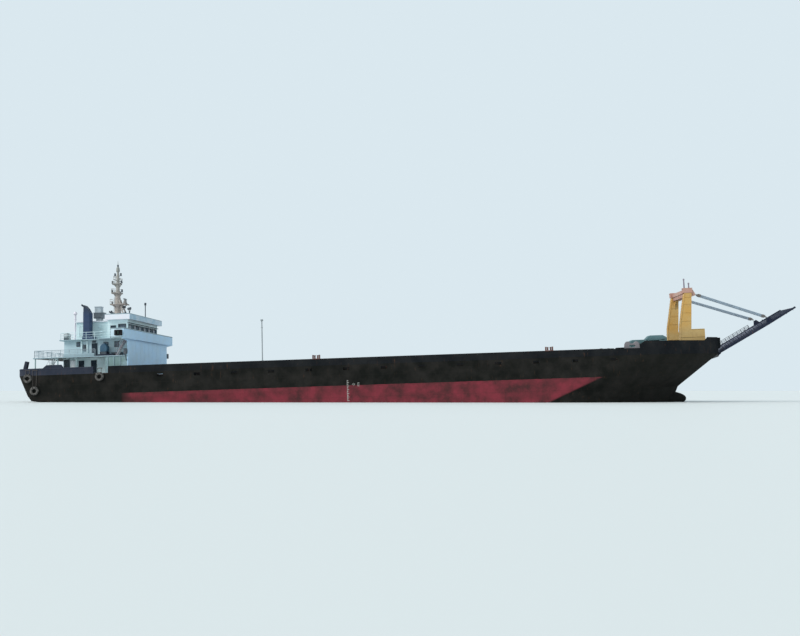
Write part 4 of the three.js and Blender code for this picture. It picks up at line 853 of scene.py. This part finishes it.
mast_paint = painted_steel("mast_paint", mast_coats, (0.4, 0.375, 0.35), rust=0.6, roughness=0.6)
MAST_X, MAST_FOOT = -3.917, 1.534
mast = [upright(0, 0, *row) for row in (
    # low, high, radius, sides, top radius
    (MAST_FOOT, 2.02, 0.052, 40, 0.032), (2.01, 2.26, 0.026, 32, 0.02), (2.25, 2.33, 0.019, 24, 0.016),
    (2.308, 2.322, 0.017, 24, 0.028), (2.322, 2.378, 0.028, 24, 0.022), (2.37, 2.4, 0.014, 24, 0.011),
    (2.39, 2.48, 0.006, 16, 0.002), (MAST_FOOT, MAST_FOOT + 0.01, 0.08, 40))]
mast += [ring((0, 0, z), "z", collar, 0.003, 36, 8)
         for z, collar in ((1.62, 0.05), (1.72, 0.046), (1.9, 0.04), (2.1, 0.025), (2.25, 0.021))]
for step in range(8):
    fin = plate([(0.045, MAST_FOOT + 0.009), (0.076, MAST_FOOT + 0.009), (0.046, MAST_FOOT + 0.05)], "y",
                -0.0025, 0.0025)
    fin.data.transform(Matrix.Rotation(step * math.pi / 4, 4, "Z"))
    mast.append(fin)
for _, side in SIDES:
    y = side * 0.095
    mast += [bar((0.15, y, MAST_FOOT + 0.004), (0, 0, 1.96), 0.0118, 20),
             box((0.13, y - 0.02, MAST_FOOT), (0.17, y + 0.02, MAST_FOOT + 0.008), 0.002),
             bar((0.075, side * 0.048, 1.748), (0, 0, 1.7), 0.006),
             bar((-0.064, side * 0.016, 1.545), (-0.046, side * 0.016, 2.0), 0.0022, 8)]
    mast += [bar((-0.06 + (z - 1.6) * 0.04, side * 0.016, z), (-0.03, side * 0.01, z), 0.0018, 6)
             for z in (1.6, 1.75, 1.9)]
platforms = (
    # height of the underside, aft end, fore end, half width, how far forward its rail runs, rail height
    (1.805, -0.085, 0.14, 0.09, 0.02, 0.08),
    (1.98, -0.075, 0.05, 0.065, 0.048, 0.07),
    (2.12, -0.07, 0.045, 0.045, 0.043, 0.05),
)
for under, aft, fore, half, rail_fore, rail_top in platforms:
    edge, lip = half + 0.002, under - 0.006
    mast += blocks([(aft, fore, -half, half, under, under + 0.01, 0.002),
                    (fore - 0.006, fore, -edge, edge, lip, under + 0.013, 0.001),
                    (aft - 0.002, aft + 0.004, -edge, edge, lip, under + 0.016, 0.001)])
    mast.append(upright(0, 0, under - 0.052, under + 0.001, 0.026, 24, half * 0.72))
    for y in (-half, half):
        for x, drop in ((aft, 0.07), (fore, 0.09)):
            mast.append(bar((x * 0.8, y * 0.8, under + 0.002), (0, 0, under - drop), 0.005, 10))
        mast += [upright(x, y, under + 0.008, under + rail_top, 0.0026, 8) for x in (aft, rail_fore)]
    for z in (under + rail_top * 0.55, under + rail_top):
        mast += pipe_along([(rail_fore, -half, z), (aft, -half, z), (aft, half, z), (rail_fore, half, z)],
                           0.0022, 8)
mast.append(axle(0, 2.176, -0.17, 0.17, 0.0065, 16))
for y in (-0.15, -0.08, 0.08, 0.15):
    mast += [upright(0, y, 2.176, 2.205, 0.003, 10), upright(0, y, 2.203, 2.228, 0.008, 16),
             upright(0, y, 2.228, 2.233, 0.009, 16, 0.003)]
mast.append(combine(upright(0.11, 0, 1.81, 1.87, 0.027, 32, 0.022), upright(0.11, 0, 1.838, 1.9, 0.0085, 24)))
mast.append(box((0.084, -0.028, 1.812), (0.136, 0.028, 1.836), 0.004))
for z in [1.56 + 0.0185 * rung for rung in range(24)]:
    mast.append(axle((z - MAST_FOOT) / 0.486 * 0.02 - 0.064, z, -0.016, 0.016, 0.0015, 6))
build("mast_assembly", mast, mast_paint, "mast_paint", "mast", at=(MAST_X, 0, 0))

lamps = []
for x, y, z in ((-0.098, 0, 1.7), (-0.1, 0.03, 1.845), (-0.09, 0, 2.02), (-0.085, 0, 2.155), (0.062, 0, 2.02),
                (0.056, 0, 2.155), (-0.045, 0, 2.27), (0.045, 0, 2.27), (0.0, 0, 2.4)):
    if x:
        lamps += [bar((0, 0, z - 0.022), (x, y, z - 0.018), 0.0035, 10),
                  upright(x, y, z - 0.02, z - 0.014, 0.014, 20)]
    lamps += [upright(x, y, z - 0.014, z + 0.016, 0.012, 20),
              upright(x, y, z + 0.016, z + 0.024, 0.015, 20, 0.006)]
for z, reach in ((1.765, 0.075), (1.67, 0.085)):
    lamps += [bar((0.03, 0, z), (reach, 0, z + 0.004), 0.005, 12, 0.008),
              bar((reach, 0, z + 0.004), (reach + 0.04, 0, z + 0.006), 0.008, 20, 0.022)]
build("mast_lamps", lamps, frame_paint, "steel", at=(MAST_X, 0, 0))


# Radar scanner
# A slotted bar with rounded ends in grey moulded plastic. It turns on a short spindle in the pedestal.
scanner_plastic = painted_steel("scanner_plastic", (0.15, 0.16, 0.17), (0.24, 0.25, 0.26), rust=0.1,
                                roughness=0.4)
scanner = [box((-0.009, -0.055, 1.88), (0.009, 0.055, 1.9), 0.006, 3),
           box((-0.0025, -0.05, 1.878), (0.01, 0.05, 1.886), 0.001),
           upright(0, 0, 1.8755, 1.882, 0.013, 28, 0.009), upright(0, 0, 1.845, 1.88, 0.0068, 24)]
build("radar_bar", scanner, scanner_plastic, "white_paint", "radar_scanner", body="scanner",
      at=(MAST_X + 0.11, 0, 0))


# Roof ventilator
# A square steel vent: pale stem, a dark louvred body, and a grey weather hood on top.
def vent_coats(position, x, y, z):
    body = blend_colours(band_of(z, 1.574, 1.576), (0.5, 0.56, 0.58), (0.024, 0.036, 0.056))
    return blend_colours(band_of(z, 1.66, 1.662), body, (0.46, 0.53, 0.58))


vent_paint = painted_steel("vent_paint", vent_coats, (0.2, 0.24, 0.27), rust=0.4)
dress(vent_paint, "roof_ventilator")
louvres = blocks([(-4.1305, -4.0295, -0.351, -0.249, 1.744, 1.752, 0.002),
                  (-4.145, -3.991, -0.355, -0.245, 1.655, 1.6625, 0.002)])
for face, side in ((-0.35, -1), (-0.25, 1)):
    louvres += slats(face, side, 0.005, 1.586, 0.0125, 6, 0.008, 0.002, -4.132, -4.003)
build("vent_louvres", louvres, vent_paint, "steel", degrees=0)


# Funnels
# Two navy blue casings of rolled steel plate stand on deck 2, with a sooty sloped top, stiffening bands,
# a hand ladder and an exhaust pipe.
def funnel_coats(position, x, y, z):
    soot = maths("ADD", z, product(blotches(position, 0.05), 0.1))
    return blend_colours(band_of(soot, 1.67, 1.78), (0.026, 0.05, 0.11), (0.02, 0.026, 0.034))


funnel_paint = painted_steel("funnel_paint", funnel_coats, (0.04, 0.06, 0.105), shine=0.2)
dress(funnel_paint, "funnel_port", "funnel_stbd")
outline = []
corners = ((0.035, 0.03), (-0.035, 0.03), (-0.035, -0.03), (0.035, -0.03))
for quarter, (corner_x, corner_y) in enumerate(corners):
    for k in range(7):
        angle = (quarter + k / 6) * math.pi / 2
        outline.append((corner_x + 0.0205 * math.cos(angle), corner_y + 0.0205 * math.sin(angle)))
LADDER_X = -0.064
for label, side in SIDES:
    bands = [ring((-0.0915, 0, 1.762), "x", 0.0142, 0.0022, 28, 8)]
    for z in (1.33, 1.42, 1.51, 1.6):
        bands += pipe_along([(x, y, z) for x, y in outline + outline[:1]], 0.0022, 8)
    bands += [axle(LADDER_X, 1.33 + 0.0235 * rung, -0.015, 0.015, 0.0014, 6) for rung in range(14)]
    for y in (-0.015, 0.015):
        bands.append(upright(LADDER_X, y, 1.31, 1.66, 0.002, 8))
        bands += [bar((LADDER_X, y, z), (-0.05, y, z), 0.0018, 6) for z in (1.34, 1.48, 1.63)]
    build(f"funnel_bands_{label}", bands, funnel_paint, "funnel_paint", at=(-4.16, side * 0.49, 0))


# Liferaft canister
# A two-part glass fibre barrel, held on its steel cradle by straps at the aft end of deck 2.
canister_shell = painted_steel("canister_shell", (0.36, 0.4, 0.42), (0.46, 0.48, 0.48), rust=0.1,
                               roughness=0.4)
CANISTER = (-4.423, -0.585, 1.318)
canister = [modify(axle(0, 0, -0.052, 0.052, 0.033, 40), "BEVEL", width=0.009, segments=4,
                   angle_limit=math.radians(40), limit_method="ANGLE")]
canister += [ring((0, y, 0), "y", 0.0332, 0.0016, 40, 6) for y in (-0.03, -0.012, 0.012, 0.03)]
build("liferaft_canister", canister, canister_shell, "white_paint", at=CANISTER)
saddle = [(-0.033, -0.0715), (0.035, -0.0715), (0.031, -0.015), (0.017, -0.028), (0, -0.0325),
          (-0.017, -0.028), (-0.031, -0.015)]
cradle = [axle(x, -0.068, -0.045, 0.045, 0.004) for x in (-0.025, 0.025)]
for y in (-0.032, 0.032):
    cradle += [plate(saddle, "y", y - 0.004, y + 0.004), ring((0, y, 0), "y", 0.0345, 0.0018, 40, 6)]
build("canister_cradle", cradle, frame_paint, "steel", at=CANISTER)


# Water tank
# A blue polyethylene tank, blown in a ribbed mould with a domed top. It has a screwed lid and an outlet,
# and it stands on a steel frame.
tank_plastic = mottled("tank_plastic", {"Roughness": 0.38}, 0.08, 0.4, 0.72, (0.016, 0.06, 0.11),
                       (0.04, 0.11, 0.17), (0.01, 5.0, 0.15, 0.001))
TANK = (-3.815, -0.72, 1.0562)
tank_rows = []
for y in [-0.046 + 0.092 * step / 36 for step in range(37)]:
    shrink = 1.0 - 0.1 * max(0.0, (abs(y) - 0.036) / 0.01) ** 2
    rib = 0.002 if abs(y) <= 0.038 and math.cos(y * 2 * math.pi / 0.0255) > 0.2 else 0.0
    half = (0.052 + rib) * shrink
    dome = [(half * math.cos(math.pi * k / 24), 0.045 + (0.07 + rib) * shrink * math.sin(math.pi * k / 24))
            for k in range(25)]
    foot = [(-half * 0.985, 0.02), (-half * 0.9, 0), (half * 0.9, 0), (half * 0.985, 0.02)]
    tank_rows.append([(x, y, z) for x, z in dome + foot])
tank = [outward(loft("tank", tank_rows)), rounded(upright(0, 0, 0.1038, 0.1203, 0.02, 32), 0.003),
        axle(0.03, 0.0098, -0.04, -0.052, 0.005, 16)]
build("water_tank_shell", tank, tank_plastic, "tank_plastic", "water_tank", degrees=40.0, at=TANK)
skirt = box((-0.037, -0.041, -0.0422), (0.037, -0.038, -0.0017), 0.0008)
build("tank_stand_skirt", [skirt], frame_paint, "steel", degrees=0, at=TANK)


# Bow gantry
# Two box legs of yellow steel plate stand on the foredeck, each with a wide foot web, edge flanges, a bolted
# foot plate and rungs. The head beam and its sheave cheeks are in faded red.
def gantry_coats(position, x, y, z):
    height = maths("ADD", z, product(blotches(position, 0.08), 0.12))
    return blend_colours(band_of(height, 1.12, 1.22), (0.455, 0.31, 0.122), (0.525, 0.305, 0.082))


gantry_yellow = painted_steel("gantry_yellow", gantry_coats, (0.5, 0.36, 0.16), rust=0.75)
head_red = painted_steel("head_red", (0.43, 0.235, 0.185), (0.52, 0.36, 0.3), rust=0.7, roughness=0.6)
dress(gantry_yellow, "gantry_leg_port", "gantry_leg_stbd")
dress(head_red, "gantry_head")
edges = ([(4.517, 1.106), (4.552, 1.62)], [(4.346, 0.76), (4.371, 1.16), (4.456, 1.62)],
         [(4.702, 0.76), (4.702, 1.103)])
for label, side in SIDES:
    trimmings = blocks([(4.51, 4.703, -0.0345, 0.0345, 1.098, 1.104, 0.0012),
                        (4.335, 4.715, -0.042, 0.042, 0.7535, 0.7615, 0.0015)])
    for edge in edges:
        for (x0, z0), (x1, z1) in zip(edge, edge[1:]):
            flange = [(x0 - 0.004, z0), (x0 + 0.002, z0), (x1 + 0.002, z1), (x1 - 0.004, z1)]
            trimmings.append(plate(flange, "y", -0.0345, 0.0345, 0.0012))
    for x in [4.348 + 0.0504 * k for k in range(8)]:
        trimmings += [upright(x, y, 0.76, 0.766, 0.0034, 6) for y in (-0.037, 0.037)]
    for out in (-1, 1):
        trimmings += blocks([(4.358, 4.696, 0.0295, 0.0345, z, z + 0.005, 0) for z in (0.87, 0.99)], out)
        trimmings += blocks([(aft, 4.547 - (1.62 - z) * 0.067, 0.0295, 0.0335, z, z + 0.005, 0) for z, aft in
                             ((1.22, 4.388), (1.34, 4.408), (1.46, 4.431), (1.56, 4.449))], out)
    knee = [(-side * y, z) for y, z in ((0.028, 1.579), (0.028, 1.43), (0.039, 1.478), (0.065, 1.52),
                                        (0.105, 1.55), (0.165, 1.579))]
    trimmings.append(plate(knee, "x", 4.488, 4.5, 0.001))
    for z in [0.8 + 0.0235 * rung for rung in range(34)]:
        lean = 4.346 + (z - 0.76) * 0.0625 if z < 1.16 else 4.371 + (z - 1.16) * 0.185
        trimmings.append(axle(lean - 0.014, z, side * -0.016, side * 0.016, 0.0018, 8))
        trimmings += [bar((lean - 0.014, y, z), (lean, y, z), 0.0018, 6) for y in (-0.016, 0.016)]
    build(f"gantry_trim_{label}", trimmings, gantry_yellow, "yellow_paint", at=(0, side * 0.305, 0))
head_bits = blocks([(4.466, 4.534, y - 0.003, y + 0.003, 1.572, 1.676, 0)
                    for y in (-0.2, -0.1, 0.0, 0.1, 0.2)])
for _, side in SIDES:
    y = side * 0.3
    head_bits += [axle(4.59, 1.602, y - 0.0155, y - 0.0115, 0.014, 28),
                  axle(4.59, 1.602, y + 0.0115, y + 0.0155, 0.014, 28),
                  axle(4.59, 1.602, y - 0.019, y + 0.019, 0.006, 20)]
    y = side * 0.305
    head_bits.append(box((4.436, y - 0.0365, 1.684), (4.569, y + 0.0365, 1.6945), 0.002))
build("gantry_head_trim", head_bits, head_red, "head_paint")
head_posts = []
for x, top in ((4.465, 1.83), (4.53, 1.77)):
    head_posts += [upright(x, 0, 1.688, top - 0.012, 0.01, 16, 0.008),
                   upright(x, 0, top - 0.016, top + 0.002, 0.014, 16, 0.009),
                   ring((x, 0, 1.696), "z", 0.012, 0.003, 20, 8)]
post_mauve = painted_steel("post_mauve", (0.16, 0.14, 0.185), (0.27, 0.23, 0.27), rust=0.5, roughness=0.6)
build("head_posts", head_posts, post_mauve, "steel", at=(0, -0.305, 0))


# Ramp winches
# Each winch has a steel bed, a cast gear case, a drum full of wire rope between ribbed flanges, a brake
# band and a weather guard, all but the rope in dark teal paint.
teal_paint = painted_steel("teal_paint", (0.062, 0.132, 0.146), (0.105, 0.185, 0.2), rust=0.6)
rope_steel, rope_shader = new_material("wire_rope", {"Metallic": 0.4, "Roughness": 0.5})
rope_place = add_node(rope_shader, "ShaderNodeTexCoord", {}).outputs["Object"]
strands = add_node(rope_place, "ShaderNodeTexWave", {"Vector": rope_place, "Scale": 260.0, "Distortion": 2.0})
grease = product(band_of(blotches(rope_place, 0.03), 0.4, 0.7), 0.35)
lay = blend_colours(strands.outputs["Fac"], (0.3, 0.37, 0.44), (0.48, 0.57, 0.66))
feed(rope_shader, {"Base Color": blend_colours(grease, lay, (0.12, 0.12, 0.125)),
                   "Normal": bump_of(strands.outputs["Fac"], 0.5, 0.0006)})
DRUM_X, DRUM_Z = 4.045, 0.89
case = [(3.822, 0.774), (3.948, 0.774), (3.948, 0.9), (3.925, 0.952), (3.845, 0.952), (3.822, 0.905)]
stand = [(DRUM_X - 0.06, 0.776), (DRUM_X + 0.06, 0.776), (DRUM_X + 0.022, DRUM_Z + 0.02),
         (DRUM_X - 0.022, DRUM_Z + 0.02)]
hood = [(3.82, 0.95), (3.82, 0.975), (3.866, 1.0195), (4.045, 1.0195), (4.098, 0.985), (4.1, 0.95)]
for label, side in SIDES:
    works = blocks([(3.81, 4.13, -0.08, -0.055, 0.7545, 0.779, 0.003),
                    (3.81, 4.13, 0.055, 0.08, 0.7545, 0.779, 0.003),
                    (3.82, 4.12, -0.07, 0.07, 0.76, 0.776, 0.002)])
    works += blocks([(3.817, 3.8225, y - 0.003, y + 0.003, 0.785, 0.895, 0)
                     for y in (-0.045, -0.015, 0.015, 0.045)])
    works += [axle(3.886, 0.865, y, y + 0.004, 0.034, 32) for y in (-0.066, 0.062)]
    for y, stand_y in ((-0.075, -0.081), (0.062, 0.075)):
        works += [rounded(axle(DRUM_X, DRUM_Z, y, y + 0.013, 0.075, 48), 0.002),
                  plate(stand, "y", stand_y, stand_y + 0.006, 0.001)]
    works += [plate(case, "y", -0.062, 0.062, 0.006), bar((3.93, 0, DRUM_Z), (3.99, 0, DRUM_Z), 0.014, 20),
              axle(DRUM_X, DRUM_Z, -0.08, 0.08, 0.012, 24),
              ring((DRUM_X, 0.05, DRUM_Z), "y", 0.052, 0.005, 48, 8),
              combine(plate(hood, "y", -0.075, 0.075, 0.003),
                      box((3.955, -0.071, 0.9), (4.094, 0.071, 0.975)))]
    works += [upright(x, y, 0.776, 1.0, 0.0045) for x in (3.845, 4.08) for y in (-0.07, 0.07)]
    works += [bar((3.8, side * 0.02, 0.9), (3.822, side * 0.02, 0.9), 0.004, 10),
              ring((3.802, side * 0.02, 0.9), "x", 0.02, 0.0022, 28, 8)]
    build(f"winch_{label}", works, teal_paint, "teal_paint", f"ramp_winch_{label}", at=(0, side * 0.5, 0))
    turns = [ring((DRUM_X, -0.055 + 0.0058 * k, DRUM_Z), "y", 0.045, 0.0031, 40, 8) for k in range(18)]
    turns.append(axle(DRUM_X, DRUM_Z, -0.062, 0.062, 0.044, 40))
    build(f"winch_rope_{label}", turns, rope_steel, "steel", at=(0, side * 0.5, 0))


# Ramp hinge and ramp
# The ramp is a stiffened steel plate with kerbs, in dark navy paint that is scraped by wheels. It swings
# on a long steel pin in four brackets. Angle bars across its deck give grip, and low guard rails stand on
# the kerbs.
RAMP_PIVOT = Vector((4.895, 0, 0.715))
RAMP_ANGLE = math.radians(28.4)


def ramp_coats(position, x, y, z):
    """Dark navy, scraped to a pale grey on the inner half of the deck along its port kerb."""
    rise = maths("MULTIPLY_ADD", x, -math.tan(RAMP_ANGLE), z)
    deck = RAMP_PIVOT.z - RAMP_PIVOT.x * math.tan(RAMP_ANGLE) + 0.037 / math.cos(RAMP_ANGLE)
    on_deck = product(band_of(rise, deck - 0.0005, deck), band_of(rise, deck + 0.009, deck + 0.008))
    wheel_track = product(band_of(y, -0.06, 0.06), band_of(y, 0.2385, 0.2375), band_of(x, 5.8, 5.5))
    scraped = product(on_deck, wheel_track, band_of(blotches(position, 0.05), 0.2, 0.4))
    return blend_colours(scraped, (0.011, 0.016, 0.034), (0.27, 0.29, 0.36))


dark_steel = painted_steel("dark_steel", (0.1, 0.11, 0.12), (0.17, 0.14, 0.12), rust=0.9, roughness=0.6)
ramp_navy = painted_steel("ramp_navy", ramp_coats, (0.034, 0.038, 0.06), rust=0.5, shine=0.12)
dress(dark_steel, "ramp_hinge")
dress(ramp_navy, "ramp")
grips = blocks([(u - 0.0035, u + 0.0035, -0.236, 0.236, 0.0375, 0.0425, 0.001)
                for u in [0.08 + 0.044 * k for k in range(28)]])
grips.append(axle(1.306, 0.034, -0.246, 0.246, 0.0048, 16))
for _, side in SIDES:
    y = side * 0.243
    grips += blocks([(u - 0.003, u + 0.003, 0.2495, 0.2545, 0.016, 0.043, 0)
                     for u in [0.1 + 0.105 * k for k in range(12)]], side)
    grips.append(bar((0.06, side * 0.244, 0.046), (1.308, side * 0.244, 0.046), 0.0052))
    grips += [upright(0.115 + 0.066 * k, y, 0.044, 0.098, 0.0034) for k in range(11)]
    grips += [bar((0.11, y, rail), (0.78, y, rail), 0.0028, 10) for rail in (0.064, 0.08, 0.097)]
    for u in (0.69, 0.76, 1.0, 1.07):
        grips.append(plate([(u - 0.01, 0.044), (u + 0.01, 0.044), (u + 0.005, 0.06), (u - 0.005, 0.06)], "y",
                           y - 0.004, y + 0.004))
    grips.append(axle(0.9, 0.093, side * 0.23 - 0.013, side * 0.23 + 0.013, 0.009, 20))
build("ramp_grips", grips, ramp_navy, "ramp_paint", body="bow_ramp",
      at=Matrix.Translation(RAMP_PIVOT) @ Matrix.Rotation(-RAMP_ANGLE, 4, "Y"))
nuts = [axle(0, 0, y - 0.002, y + 0.002, 0.014, 6) for y in (-0.25, -0.246, 0.246, 0.25)]
build("hinge_nuts", nuts, dark_steel, "steel", degrees=0, at=tuple(RAMP_PIVOT))


# Hoisting tackles
# Eight parts of taut wire rope run between a block under each sheave cheek and a block at each ramp lug.
# One block follows the vessel and the other the ramp. Each part of rope is one straight length.
for label, side in SIDES:
    top = Vector((4.6103, side * 0.3, 1.602))
    lug = Vector((5.637, side * 0.23, 1.2354))
    along = (lug - top).normalized()
    across = Vector((0, 1, 0))
    above = along.cross(across).normalized()
    start, end = top + along * 0.006, lug - along * 0.018
    upper_end, lower_end = start + along * 0.075, end - along * 0.06
    section = [across * 0.0038 * math.cos(angle) + above * 0.0038 * math.sin(angle)
               for angle in [k / 10 * 2 * math.pi for k in range(10)]]
    ropes = []
    for shift in [across * out + above * up
                  for out in (-0.011, 0.011) for up in (-0.015, -0.005, 0.005, 0.015)]:
        rope = [[tuple(point + shift + corner) for corner in section] for point in (upper_end, lower_end)]
        ropes.append(outward(loft("rope", rope)))
    falls = build(f"tackle_falls_{label}", ropes, rope_steel, "steel", f"hoist_tackle_{label}", body=None,
                  degrees=60.0)
    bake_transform(falls)
    cheek = [(-0.03, -0.006), (-0.012, -0.018), (0.018, -0.021), (0.034, -0.012),
             (0.034, 0.012), (0.018, 0.021), (-0.012, 0.018), (-0.03, 0.006)]
    for kind, hook, toward, body in (("upper", start, along, "vessel"), ("lower", end, -along, "bow_ramp")):
        block = [plate(cheek, "y", y - 0.0012, y + 0.0012) for y in (-0.017, -0.0055, 0.0055, 0.017)]
        block += [axle(0.006, 0, y - 0.0035, y + 0.0035, 0.0155, 32) for y in (-0.011, 0.0, 0.011)]
        block += [axle(0.006, 0, -0.021, 0.021, 0.005, 16), axle(-0.026, 0, -0.018, 0.018, 0.0045, 16),
                  ring((-0.038, 0, 0), "y", 0.0085, 0.0032, 24, 8)]
        turn = Matrix((toward, across, toward.cross(across))).transposed().to_4x4()
        build(f"tackle_block_{kind}_{label}", block, dark_steel, "steel", body=body,
              at=Matrix.Translation(hook + toward * 0.048) @ turn)


# Light pole
# A galvanised pole is bolted to the top of the starboard side wall, with a flood lamp on a bracket at
# its head.
galvanised = painted_steel("galvanised", (0.22, 0.25, 0.27), (0.34, 0.36, 0.37), rust=0.35)
dress(galvanised, "light_pole")
pole_bits = [upright(0, 0, 0.8365, 1.402, 0.0078, 20, 0.0072), upright(0, 0, 0.8365, 0.848, 0.0135, 20),
             upright(0, 0, 1.3, 1.306, 0.012, 20),
             box((-0.0165, -0.015, 1.3935), (0.0165, 0.017, 1.4175), 0.005)]
for angle in [math.pi / 4 + corner * math.pi / 2 for corner in range(4)]:
    pole_bits.append(upright(0.0105 * math.cos(angle), 0.0105 * math.sin(angle), 0.847, 0.8505, 0.0018, 6))
build("light_pole_fittings", pole_bits, galvanised, "steel", at=(-1.52, -0.886, 0))


# Propellers and rudders
# Four-bladed bronze propellers turn in bosses on the skegs. The rudders are faired steel plate in bottom
# red, on stocks that stand in the hull.
bronze = mottled("cast_bronze", {"Metallic": 0.85, "Roughness": 0.38}, 0.04, 0.4, 0.68, (0.42, 0.25, 0.09),
                 (0.16, 0.15, 0.1), (0.006, 5.0, 0.3, 0.001))
dress(bronze, "propeller_port", "propeller_stbd")
bottom_red = painted_steel("bottom_red", (0.15, 0.034, 0.043), (0.21, 0.07, 0.07), rust=0.5, roughness=0.7)
dress(bottom_red, "rudder_port", "rudder_stbd")
